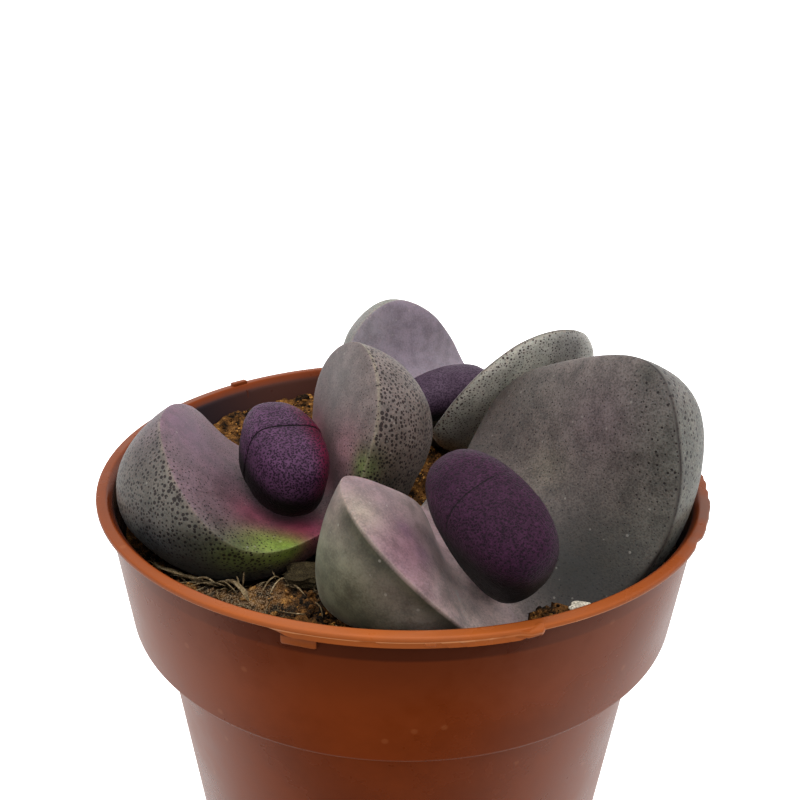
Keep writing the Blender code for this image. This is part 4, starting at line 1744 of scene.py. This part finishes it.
    def crumbs(self, effects: Effects, finish: EarthFinish, ground: BVHTree) -> Object:
        """Scatter loose crumbs over the open soil.

        Args:
            effects: The shared shader groups.
            finish: The soil.
            ground: The bed's surface.

        Returns:
            The new piece.
        """
        draw = random.Random(CRUMB_SEED)
        bm = bmesh.new()
        tones = []
        for count, smallest, largest, detail in self.loose:
            shapes = [self.crumb_shape(detail, number) for number in range(self.crumb_shapes)]
            for _ in range(count):
                size = draw.uniform(smallest, largest) ** 1.3 * MM
                angle = draw.uniform(0.0, 2.0 * math.pi)
                reach = math.sqrt(draw.random()) * (Pot.collar_bottom - Pot.wall - self.crumb_wall_gap - size)
                tone = draw.gauss(0.02, 0.2)
                squash = draw.uniform(0.6, 0.95)
                twist = draw.uniform(0.0, math.pi)
                mesh, points = draw.choice(shapes)
                seat = self.crumb_seat(ground, reach * math.cos(angle), reach * math.sin(angle), size)
                if seat is None:
                    continue
                turn = Matrix.Rotation(twist, 3, "Z") @ Matrix.Diagonal((size, size * squash, size * squash))
                Bench.place(mesh, points @ np.array(turn).T + np.array(seat))
                bm.from_mesh(mesh)
                tones += [tone] * len(points)
        mesh = Bench.mesh("soil_crumbs", bm)
        self.store_tones(mesh, np.array(tones))
        return Bench.show(mesh, finish.material(effects), Slot.SOIL)

    @staticmethod
    def crumb_shape(detail: int, number: int) -> tuple[Mesh, Array]:
        """One lumpy crumb about the origin, of radius 1.

        Args:
            detail: How finely it is divided.
            number: Number of the shape.

        Returns:
            The crumb as a mesh, and its points.
        """
        bm = bmesh.new()
        bmesh.ops.create_icosphere(bm, subdivisions=detail, radius=1.0)
        for vert in bm.verts:
            vert.co += noise.noise_vector(vert.co * 1.3 + Vector((number, 0.0, 0.0)) * 7.0) * 0.65
        mesh = Bench.mesh("crumb", bm)
        return mesh, Bench.points(mesh)

    def crumb_seat(self, ground: BVHTree, x: float, y: float, size: float) -> Vector | None:
        """Where a crumb rests on the open soil.

        Args:
            ground: The bed's surface.
            x: Its place from the axis.
            y: Its place from the axis.
            size: Its radius.

        Returns:
            The crumb's middle, or nothing where a leaf is in its way.
        """
        hit = ground_below(ground, x, y, RIM)
        if hit is None:
            return None
        near = self.leaves.find_nearest(hit)[3]
        covered = self.leaves.ray_cast(Vector((x, y, RIM - 12.0 * MM)), UP)[0] is not None
        if near < size * self.crumb_clearance or (covered and near < self.crumb_leaf_gap):
            return None
        return hit + UP * (size * self.crumb_lift)


@dataclass(frozen=True)
class Litter:
    """What lies on the soil: dry fibres, a chip of bark and a pumice grain."""

    # Plan points and height above the soil, then half thickness, all in millimetres
    strands: tuple[tuple, ...] = (
        (((-32.5, -18.6, 0.6), (-29.8, -20.2, 0.9), (-27.8, -21.1, 1.1), (-25.9, -21.7, 1.0),
          (-24.2, -21.4, 1.0), (-22.6, -22.3, 1.1), (-21.1, -23.6, 0.9), (-19.5, -25.2, 0.8),
          (-18.3, -27.3, 0.6)), 0.24),
        (((-20.8, -23.6, 1.1), (-19.8, -25.0, 1.0), (-18.8, -26.5, 0.9), (-18.0, -27.9, 0.8)), 0.25),
        (((-29.0, -21.3, 0.7), (-26.9, -22.6, 0.8), (-25.4, -22.8, 0.8), (-23.5, -22.5, 0.9),
          (-21.8, -23.6, 0.8), (-19.9, -25.7, 0.4)), 0.16),
        (((-31.6, -19.3, 0.5), (-29.4, -21.8, 0.6), (-27.3, -23.3, 0.7), (-26.1, -22.8, 0.8)), 0.15),
        (((-32.5, -17.9, 0.9), (-30.8, -19.5, 1.1), (-29.1, -20.2, 1.3), (-27.3, -20.5, 1.2),
          (-25.3, -21.6, 0.9)), 0.12),
        (((-25.2, -23.9, 0.8), (-24.1, -23.4, 1.1), (-22.7, -24.2, 0.8)), 0.14),
        (((-27.1, -21.3, 0.9), (-25.0, -22.4, 1.2), (-23.1, -23.2, 1.1), (-21.3, -24.9, 0.6)), 0.11),
        (((-19.4, -24.2, 0.3), (-19.3, -24.0, 1.2), (-19.2, -23.9, 2.1)), 0.1),
        (((-19.8, -24.4, 0.3), (-19.9, -24.2, 1.1), (-20.1, -24.1, 1.8)), 0.1),
        (((-15.8, -21.9, 0.2), (-15.9, -21.8, 1.0), (-16.2, -21.6, 2.0)), 0.08),
        (((-15.6, -23.2, -0.1), (-14.6, -23.2, 0.2), (-13.5, -23.8, 0.2), (-12.5, -24.6, 0.1),
          (-11.7, -25.7, -0.2)), 0.12),
        (((-15.9, -25.6, -0.1), (-15.4, -24.1, 0.3), (-14.5, -23.4, 0.4), (-13.7, -24.2, 0.1)), 0.09),
        (((-17.0, -24.7, -0.2), (-16.5, -23.4, 0.1), (-15.6, -22.8, 0.2), (-14.9, -22.3, 0.0)), 0.09),
    )
    lift: float = 0.6           # millimetres by which every strand is raised from there
    short_fibres: int = 60

    @staticmethod
    def strand(bm: BMesh, route: list[Vector], radius: float, flatness: float = 1.0) -> None:
        """Add one tapering strand along a route.

        Args:
            bm: Where the strand goes.
            route: Points that the strand passes.
            radius: Its half thickness.
            flatness: Its height as a share of its width.
        """
        made = bmesh.ops.create_uvsphere(bm, u_segments=8, v_segments=36, radius=1.0)["verts"]
        count = len(route) - 1
        for vert in made:
            share = 0.5 - 0.5 * math.sin(math.asin(max(-1.0, min(1.0, vert.co.z))))
            place = share * count
            index = min(int(place), count - 1)
            part = place - index
            before = route[max(index - 1, 0)]
            after = route[min(index + 2, count)]
            start, end = route[index], route[index + 1]
            middle = Litter.curve(before, start, end, after, part)
            along = (end - start).normalized()
            side = along.cross(UP).normalized()
            upward = side.cross(along)
            angle = math.atan2(vert.co.y, vert.co.x)
            width = radius * (1.0 - abs(2.0 * share - 1.0) ** 3) + radius * 0.08
            if math.hypot(vert.co.x, vert.co.y) < 1e-6:
                width = 0.0
            vert.co = middle + side * math.cos(angle) * width + upward * math.sin(angle) * width * flatness

    @staticmethod
    def curve(before: Vector, start: Vector, end: Vector, after: Vector, part: float) -> Vector:
        """Point of a smooth curve between two points of a route.

        Args:
            before: The route's point before them.
            start: The first of the two.
            end: The second of the two.
            after: The route's point after them.
            part: How far between the two, 0 to 1.

        Returns:
            The point.
        """
        first = (end - before) * 0.5
        second = (after - start) * 0.5
        square, cube = part * part, part * part * part
        return (start * (2.0 * cube - 3.0 * square + 1.0) + first * (cube - 2.0 * square + part)
                + end * (-2.0 * cube + 3.0 * square) + second * (cube - square))

    def fibres(self, effects: Effects, finish: EarthFinish, ground: BVHTree) -> Object:
        """Lay the tuft of dry fibres.

        Args:
            effects: The shared shader groups.
            finish: The straw.
            ground: The soil's surface.

        Returns:
            The new piece.
        """
        bm = bmesh.new()
        tones = []
        for number, (points, radius) in enumerate(self.strands):
            route = [ground_below(ground, x * MM, y * MM) + UP * ((above + self.lift) * MM)
                     for x, y, above in points]
            start = len(bm.verts)
            self.strand(bm, route, 1.2 * radius * MM, 0.7)
            tones += [0.12 * math.sin(number * 2.3)] * (len(bm.verts) - start)
        self.scatter(bm, tones, ground)
        mesh = Bench.mesh("dry_fibre_tuft", bm)
        Bench.numbers(mesh, tone=np.array(tones))
        return Bench.show(mesh, finish.material(effects), Slot.STRAW, "dry_fibres")

    def scatter(self, bm: BMesh, tones: list[float], ground: BVHTree) -> None:
        """Scatter short fibres over the front left of the soil.

        Args:
            bm: Where the fibres go.
            tones: How light each point is, to which those of the fibres are added.
            ground: The soil's surface.
        """
        draw = random.Random(FIBRE_SEED)
        for _ in range(self.short_fibres):
            heading = math.radians(draw.uniform(-148.0, -100.0))
            reach = draw.uniform(25.0, 36.5)
            turn = draw.uniform(0.0, 2.0 * math.pi)
            length = draw.uniform(0.7, 2.1)
            bend = draw.uniform(-0.6, 0.6)
            route = []
            for step, above in ((-1.0, 0.3), (0.0, 0.75), (1.0, draw.uniform(0.2, 1.4))):
                x = reach * math.cos(heading) + step * length * math.cos(turn + step * bend)
                y = reach * math.sin(heading) + step * length * math.sin(turn + step * bend)
                hit = ground_below(ground, x * MM, y * MM)
                if hit is not None and math.hypot(x, y) < 38.0:
                    route.append(hit + UP * (above * MM))
            if len(route) < 3:
                continue
            start = len(bm.verts)
            self.strand(bm, route, draw.uniform(0.05, 0.1) * MM)
            tones += [draw.uniform(-0.3, 0.15)] * (len(bm.verts) - start)

    @staticmethod
    def chip(effects: Effects, finish: EarthFinish) -> Object:
        """Shape the weathered chip of bark.

        Args:
            effects: The shared shader groups.
            finish: The bark.

        Returns:
            The new piece.
        """
        low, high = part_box("bark_chip")
        bm = bmesh.new()
        bmesh.ops.create_cube(bm, size=1.0)
        bmesh.ops.subdivide_edges(bm, edges=list(bm.edges), cuts=23, use_grid_fill=True)
        for vert in bm.verts:
            place = vert.co.copy()
            layered = Vector((place.x * 1.5, place.y * 5.0, place.z * 6.0))
            vert.co += noise.noise_vector(place * 3.0) * 0.14
            vert.co += noise.noise_vector(layered * 1.7) * 0.09 + noise.noise_vector(layered * 5.0) * 0.05
        points = np.array([vert.co for vert in bm.verts])
        centre = (points.max(0) + points.min(0)) / 2.0
        span = points.max(0) - points.min(0)
        size = (high - low) * 0.98
        middle = (high + low) / 2.0
        for vert in bm.verts:
            vert.co = [middle[i] + (vert.co[i] - centre[i]) / span[i] * size[i] for i in range(3)]
        Bench.outwards(bm)
        mesh = Bench.mesh("weathered_bark_chip", bm)
        Bench.numbers(mesh, tone=np.zeros(len(mesh.vertices)))
        return Bench.show(mesh, finish.material(effects), Slot.BARK, "bark_chip")

    @staticmethod
    def grain(effects: Effects, finish: EarthFinish) -> Object:
        """Shape the pitted pumice grain.

        Args:
            effects: The shared shader groups.
            finish: The pumice.

        Returns:
            The new piece.
        """
        low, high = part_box("pumice_grain")
        middle, half = (high + low) / 2.0, (high - low) / 2.0
        bm = bmesh.new()
        bmesh.ops.create_icosphere(bm, subdivisions=5, radius=1.0)
        for vert in bm.verts:
            place = vert.co.copy()
            pits = min(noise.voronoi(place * 2.6)[0][0], 0.5)
            vert.co *= 0.86 + 0.28 * noise.noise(place * 1.6) + 0.24 * pits
            vert.co = [middle[i] + vert.co[i] * half[i] for i in range(3)]
        Bench.outwards(bm)
        mesh = Bench.mesh("pitted_pumice_grain", bm)
        Bench.numbers(mesh, tone=np.zeros(len(mesh.vertices)))
        return Bench.show(mesh, finish.material(effects), Slot.PUMICE, "pumice_grain")


HEADS = (
    LeafPair(
        name="left_head", base=(-14.6 * MM, -5.8 * MM, -3.3 * MM), heading=19.0,
        base_half_width=12.3 * MM, base_depth=7.0 * MM, base_roll=0.0, base_shift=0.0,
        first=Leaf(
            length=24.7 * MM, lean=84.0, lean_by=0.30, arch=-13.0, turn=5.0, roll=-6.0,
            half_width=10.8 * MM, widest=0.49, depth=13.7 * MM, deepest=0.51, margin_tip=1.85,
            back_colour=paint(114, 102, 96), face_colour=paint(104, 91, 90), back_dots=1.4, face_dots=0.62,
            pale_margin=0.6,
        ),
        second=Leaf(
            length=23.7 * MM, lean=52.0, lean_by=0.67, arch=4.0, turn=2.0, roll=13.0,
            half_width=15.7 * MM, widest=0.43, depth=12.1 * MM, deepest=0.66, margin_tip=1.8,
            back_colour=paint(110, 105, 97), face_colour=paint(126, 101, 110), back_dots=1.55, face_dots=0.85,
            pale_margin=0.3,
        ),
        finish=LeafFinish("left_leaf_skin"),
        tints=(
            Tint(Twin.FIRST, 0.86, 169.0, 6.0, paint(124, 112, 108), 0.8),
            # Painted shade: the next two darken the lower back
            Tint(Twin.FIRST, 0.43, 169.0, 4.5, paint(94, 82, 72), 0.9, 1.25),
            Tint(Twin.FIRST, 0.28, 163.0, 3.4, paint(44, 42, 32), 0.9, 1.3),
            Tint(Twin.FIRST, 0.81, -77.0, 5.0, paint(121, 114, 112), 0.8, 0.3),
            # Painted light: the face lightened where the young pair shades it
            Tint(Twin.FIRST, 0.42, -118.0, 4.0, paint(184, 143, 150), 0.85),
            Tint(Twin.FIRST, 0.33, -60.0, 4.0, paint(142, 74, 94), 0.9, 0.3),
            Tint(Twin.FIRST, 0.20, -90.0, 3.8, paint(118, 34, 62), 0.9, 0.2),
            Tint(Twin.FIRST, 0.45, -163.0, 2.4, paint(100, 118, 64), 0.75),
            Tint(Twin.SECOND, 0.94, 34.0, 5.0, paint(80, 75, 70), 0.8, 1.0),
            # Painted shade: the next four darken parts of the back that lie in shade
            Tint(Twin.SECOND, 0.55, 13.0, 4.5, paint(76, 80, 66), 0.9, 1.1),
            Tint(Twin.SECOND, 0.36, 9.0, 5.0, paint(40, 44, 34), 0.9),
            Tint(Twin.SECOND, 0.64, 43.0, 4.5, paint(64, 68, 72), 0.85),
            Tint(Twin.SECOND, 0.45, 40.0, 5.0, paint(34, 40, 46), 0.9, 0.7),
            Tint(Twin.SECOND, 0.85, -105.0, 6.0, paint(110, 83, 101), 0.85, 0.2),
            Tint(Twin.SECOND, 0.51, -51.0, 4.5, paint(108, 87, 92), 0.8),
            Tint(Twin.SECOND, 0.35, -58.0, 3.6, paint(142, 78, 96), 0.8, 0.3),
            Tint(Twin.SECOND, 0.10, -34.0, 4.4, paint(142, 54, 84), 0.95, 0.2),
            Tint(Twin.SECOND, 0.43, 6.0, 3.0, paint(92, 104, 56), 0.8),
            Tint(Twin.SECOND, 0.31, -24.0, 2.8, paint(128, 142, 76), 0.95, 0.9),
            Tint(Twin.SECOND, 0.19, -4.0, 2.6, paint(120, 146, 54), 0.85, 0.4),
        ),
    ),
    LeafPair(
        name="right_head", base=(9.3 * MM, -24.8 * MM, -4.2 * MM), heading=42.7,
        base_half_width=10.0 * MM, base_depth=2.5 * MM, base_roll=-27.0, base_shift=1.5 * MM,
        first=Leaf(
            length=35.7 * MM, lean=68.9, lean_by=0.77, arch=-10.1, turn=38.1, roll=50.2,
            half_width=16.8 * MM, widest=0.70, depth=14.0 * MM, deepest=0.61,
            margin_tip=3.16, back_tip=2.31, lopsided=0.47,
            back_colour=paint(121, 120, 112), face_colour=paint(94, 85, 81), back_dots=1.1, face_dots=0.5,
            pale_margin=0.1, crease=1.0,
        ),
        second=Leaf(
            length=23.4 * MM, lean=76.2, lean_by=0.35, arch=-53.9, turn=-79.9, roll=-16.9,
            half_width=8.6 * MM, widest=0.34, depth=13.2 * MM, deepest=0.60,
            margin_tip=1.8, back_tip=1.89, lopsided=-0.04,
            back_colour=paint(111, 110, 92), face_colour=paint(141, 117, 121), back_dots=0.0, face_dots=0.0,
            pale_margin=0.15, band=0.9,
        ),
        finish=LeafFinish(
            "right_leaf_skin", spacing=1.05, radius=0.17, stipple=0.36, mottling=0.3, seed=11.0),
        tints=(
            Tint(Twin.FIRST, 0.89, -101.0, 8.0, paint(116, 107, 103), 0.8),
            Tint(Twin.FIRST, 0.81, -141.0, 6.5, paint(112, 104, 101), 0.8),
            Tint(Twin.FIRST, 0.76, -112.0, 5.0, paint(112, 97, 100), 0.6),
            Tint(Twin.FIRST, 0.90, -64.0, 5.0, paint(104, 98, 92), 0.6, 0.9),
            Tint(Twin.FIRST, 0.70, -54.0, 5.5, paint(82, 72, 68), 0.8, 0.9),
            Tint(Twin.FIRST, 0.57, -86.0, 3.0, paint(122, 114, 98), 0.4),
            # Painted shade: the next two darken the face low down
            Tint(Twin.FIRST, 0.31, -139.0, 7.0, paint(57, 53, 46), 0.9),
            Tint(Twin.FIRST, 0.23, -126.0, 7.0, paint(18, 13, 4), 0.95),
            Tint(Twin.FIRST, 0.84, -168.0, 4.0, paint(108, 102, 98), 0.6, 1.25),
            Tint(Twin.FIRST, 0.60, -170.0, 4.5, paint(96, 92, 86), 0.6, 1.2),
            Tint(Twin.FIRST, 0.91, -159.0, 2.0, paint(66, 64, 58), 0.8),
            Tint(Twin.FIRST, 0.49, 167.0, 6.0, paint(96, 98, 88), 0.7),
            Tint(Twin.FIRST, 0.72, 176.0, 5.0, paint(110, 110, 103), 0.7),
            Tint(Twin.SECOND, 0.88, -39.0, 5.0, paint(131, 112, 112), 0.8),
            Tint(Twin.SECOND, 0.80, -41.0, 2.6, paint(162, 149, 134), 0.7),
            # Painted light on the back high up, then painted shade on it low down
            Tint(Twin.SECOND, 0.75, 43.0, 5.0, paint(133, 135, 117), 0.7),
            Tint(Twin.SECOND, 0.57, 38.0, 5.0, paint(88, 86, 64), 0.6),
            Tint(Twin.SECOND, 0.53, -60.0, 4.2, paint(133, 93, 109), 0.85),
            Tint(Twin.SECOND, 0.50, -71.0, 1.5, paint(120, 74, 106), 0.8),
            Tint(Twin.SECOND, 0.62, -82.0, 1.3, paint(128, 90, 116), 0.7),
            # Painted light: the face lightened low down, where the young pair shades it
            Tint(Twin.SECOND, 0.24, -52.0, 6.0, paint(252, 230, 224), 0.97),
            Tint(Twin.SECOND, 0.60, -141.0, 4.0, paint(140, 124, 120), 0.7),
        ),
    ),
    LeafPair(
        name="back_head", base=(9.4 * MM, 23.1 * MM, -2.3 * MM), heading=-40.0,
        base_half_width=5.4 * MM, base_depth=6.5 * MM, base_roll=0.0, base_shift=0.0,
        first=Leaf(
            length=27.9 * MM, lean=50.5, lean_by=0.30, arch=-4.5, turn=19.0, roll=28.5,
            half_width=15.1 * MM, widest=0.28, depth=4.5 * MM, deepest=0.52,
            margin_tip=2.15, back_tip=2.8, lopsided=-0.42,
            back_colour=paint(196, 194, 184), face_colour=paint(160, 160, 150), back_dots=0.95, face_dots=1.0,
            pale_margin=0.3, crease=0.9,
        ),
        second=Leaf(
            length=26.1 * MM, lean=81.0, lean_by=0.81, arch=6.0, turn=5.5, roll=33.0,
            half_width=13.0 * MM, widest=0.32, depth=9.0 * MM, deepest=0.54,
            margin_tip=1.8, back_tip=2.3, lopsided=-0.22,
            back_colour=paint(128, 128, 116), face_colour=paint(140, 128, 139), back_dots=0.6, face_dots=0.1,
            pale_margin=0.4,
        ),
        finish=LeafFinish("back_leaf_skin", spacing=0.64, radius=0.12, mottling=0.2, seed=23.0),
        tints=(
            Tint(Twin.FIRST, 0.31, 139.0, 5.0, paint(108, 104, 100), 0.8),
            Tint(Twin.FIRST, 0.95, 111.0, 5.8, paint(110, 107, 104), 0.95),
            Tint(Twin.SECOND, 0.83, -34.0, 5.0, paint(132, 126, 130), 0.7),
            Tint(Twin.SECOND, 0.58, -133.0, 5.0, paint(150, 140, 149), 0.7),
        ),
    ),
)

YOUNG_PAIRS = (
    YoungPair(
        name="left_head", place=(-16.0 * MM, -9.8 * MM, 3.9 * MM), size=(5.25 * MM, 8.95 * MM, 5.25 * MM),
        turn=(24.8, 8.3, -12.1), taper=0.0, boxiness=3.4, finish=YoungFinish("left_young_skin"),
        seam_range=(-20.0, 185.0), rose_side=0.92, foot_from=0.2,
    ),
    YoungPair(
        name="right_head", place=(9.6 * MM, -30.9 * MM, 4.1 * MM), size=(4.35 * MM, 7.65 * MM, 9.5 * MM),
        turn=(35.5, -20.3, -16.9), taper=0.46, boxiness=2.6,
        finish=YoungFinish(
            "right_young_skin", lilac=paint(61, 29, 54), plum=paint(28, 11, 25), spacing=0.25, marking=0.85,
            wisps=0.4, seed=5.0),
        seam_place=0.9 * MM, seam_range=(80.0, 185.0), seam_tone=0.8, fissure_depth=0.05 * MM,
        ash_side=0.35, foot_from=0.75, step=0.0,
    ),
    YoungPair(
        name="back_head", place=(6.7 * MM, 19.4 * MM, 2.3 * MM), size=(5.0 * MM, 8.6 * MM, 3.9 * MM),
        turn=(-60.0, 2.5, -10.0), taper=0.18, boxiness=2.0,
        finish=YoungFinish("back_young_skin", lilac=paint(87, 69, 86), plum=paint(49, 32, 50), seed=9.0),
        seam_tone=0.15, fissure_depth=0.03 * MM, foot_from=0.2, step=0.0,
    ),
)

EARTH = EarthFinish("crumbly_soil", paint(196, 146, 80), paint(106, 73, 38), paint(24, 17, 11), 2600.0)
STRAW = EarthFinish(
    "dry_straw", paint(216, 202, 170), paint(136, 118, 90), paint(70, 60, 46), 2200.0, grain=0.00004)
BARK = EarthFinish(
    "weathered_bark", paint(134, 122, 92), paint(76, 66, 46), paint(26, 22, 16), 3000.0, grain=0.0004)
PUMICE = EarthFinish("pale_pumice", paint(232, 226, 212), paint(206, 198, 182), paint(120, 108, 92), 2400.0)
ROOT = EarthFinish("corky_root", paint(190, 160, 120), paint(160, 128, 90), paint(110, 84, 56), 1500.0)


@dataclass(frozen=True)
class Studio:
    """White surroundings, a soft light, a pale floor and the camera."""

    tilt: float = 21.0454
    roll: float = -0.6987
    eye: tuple[float, float, float] = (-0.56184 * MM, -108.971 * MM, 125.967 * MM)
    sensor: float = 36.0
    focal_pixels: float = 819.276
    picture_pixels: float = 800.0
    floor_shadow_middle: tuple[float, float, float] = (-0.013, -0.12, 0.0)
    floor_size: float = 6.0

    def camera(self) -> None:
        """Stand the camera where the photograph was taken."""
        data = bpy.data.cameras.new("camera")
        data.sensor_width = self.sensor
        data.lens = self.sensor * self.focal_pixels / self.picture_pixels
        data.clip_start = 10.0 * MM
        data.clip_end = 50.0
        tilt, roll = math.radians(self.tilt), math.radians(self.roll)
        forward = Vector((0.0, math.cos(tilt), -math.sin(tilt)))
        right = Vector((1.0, 0.0, 0.0))
        up = Vector((0.0, math.sin(tilt), math.cos(tilt)))
        across = right * math.cos(roll) - up * math.sin(roll)
        upright = right * math.sin(roll) + up * math.cos(roll)
        matrix = Matrix((across, upright, -forward)).transposed().to_4x4()
        matrix.translation = self.eye
        camera = stand("camera", data)
        camera.matrix_world = matrix
        bpy.context.scene.camera = camera

    @staticmethod
    def lamp(name: str, place: tuple[float, float, float], size: float, power: float,
             target: tuple[float, float, float] = (0.0, 0.0, 0.06)) -> None:
        """Hang a soft square light.

        Args:
            name: Name of the light.
            place: Where it hangs.
            size: Length of its side.
            power: Its power in watts.
            target: What it points at.
        """
        data = bpy.data.lights.new(name, "AREA")
        data.shape = "SQUARE"
        data.size = size
        data.energy = power
        lamp = stand(name, data)
        lamp.location = place
        lamp.rotation_euler = (Vector(target) - Vector(place)).to_track_quat("-Z", "Y").to_euler()

    @staticmethod
    def surroundings() -> None:
        """White surroundings that light the plant mostly from above and behind."""
        world = bpy.data.worlds.new("white_room")
        world.use_nodes = True
        bpy.context.scene.world = world
        graph = Graph(world.node_tree)
        world.node_tree.nodes.clear()
        direction = graph.add("TexCoord").outputs["Generated"]
        parts = graph.add("SeparateXYZ", {0: direction}).outputs
        ahead = graph.ramp(parts["Z"], 0.0, 0.6, 0.15, 1.4)
        strength = graph.ramp(parts["Y"], -0.4, 0.4, ahead, 0.95)
        seen = graph.add("LightPath").outputs["Is Camera Ray"]
        level = graph.add("Mix", {0: seen, 2: strength, 3: 1.0}).outputs[0]
        shade = graph.add("Background", {"Color": (1.0, 1.0, 1.0), "Strength": level})
        output = graph.add("OutputWorld")
        graph.feed(output.inputs["Surface"], shade.outputs[0])

    def floor(self) -> None:
        """Lay a plain pale floor, as white as the surroundings, that lights the scene by glowing, with a
        painted shadow in front of the pot where it does not glow.
        """
        bm = bmesh.new()
        bmesh.ops.create_grid(bm, x_segments=1, y_segments=1, size=self.floor_size)
        mesh = Bench.mesh("floor", bm)
        material, graph = new_material("pale_floor", Roughness=1.0, Specular_IOR_Level=0.0)
        seen = graph.add("LightPath").outputs["Is Camera Ray"]
        away = graph.vector("DISTANCE", graph.place(), self.floor_shadow_middle, output="Value")
        glow = graph.ramp(away, 0.045, 0.12, 0.0, 0.88)
        graph.coat(Base_Color=graph.mix(seen, (0.06, 0.06, 0.06), (0.85, 0.85, 0.85)),
                   Emission_Color=(1.0, 1.0, 1.0),
                   Emission_Strength=graph.add("Mix", {0: seen, 2: glow, 3: 0.8}).outputs[0])
        mesh.materials.append(material)
        stand("floor", mesh)

    def build(self) -> None:
        """Set the whole studio up."""
        view = bpy.context.scene.view_settings
        view.view_transform = "Standard"
        view.look = "Medium High Contrast"
        self.camera()
        self.surroundings()
        self.floor()
        self.lamp("overhead", (0.0, 0.0, 0.55), 0.3, 0.4)


def main() -> None:
    """Build the studio, the plant, its pot and its soil; each piece logs its face count."""
    logging.basicConfig(level=logging.INFO, format="%(message)s")
    noise.seed_set(NOISE_SEED)
    effects = Effects()
    Studio().build()
    Pot().build(effects, PlasticFinish())
    leaves = [head.build(effects) for head in HEADS]
    for pair in YOUNG_PAIRS:
        pair.build(effects)
    soil = Soil(surface(*leaves))
    taproots = [f"{head.name}_taproot" for head in HEADS]
    ground = surface(soil.bed(effects, EARTH, taproots))
    soil.crumbs(effects, EARTH, ground)
    litter = Litter()
    litter.fibres(effects, STRAW, ground)
    litter.chip(effects, BARK)
    litter.grain(effects, PUMICE)
    skin = ROOT.material(effects)
    for name in taproots:
        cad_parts[name].data.materials[0] = skin


if __name__ == "__main__":
    main()
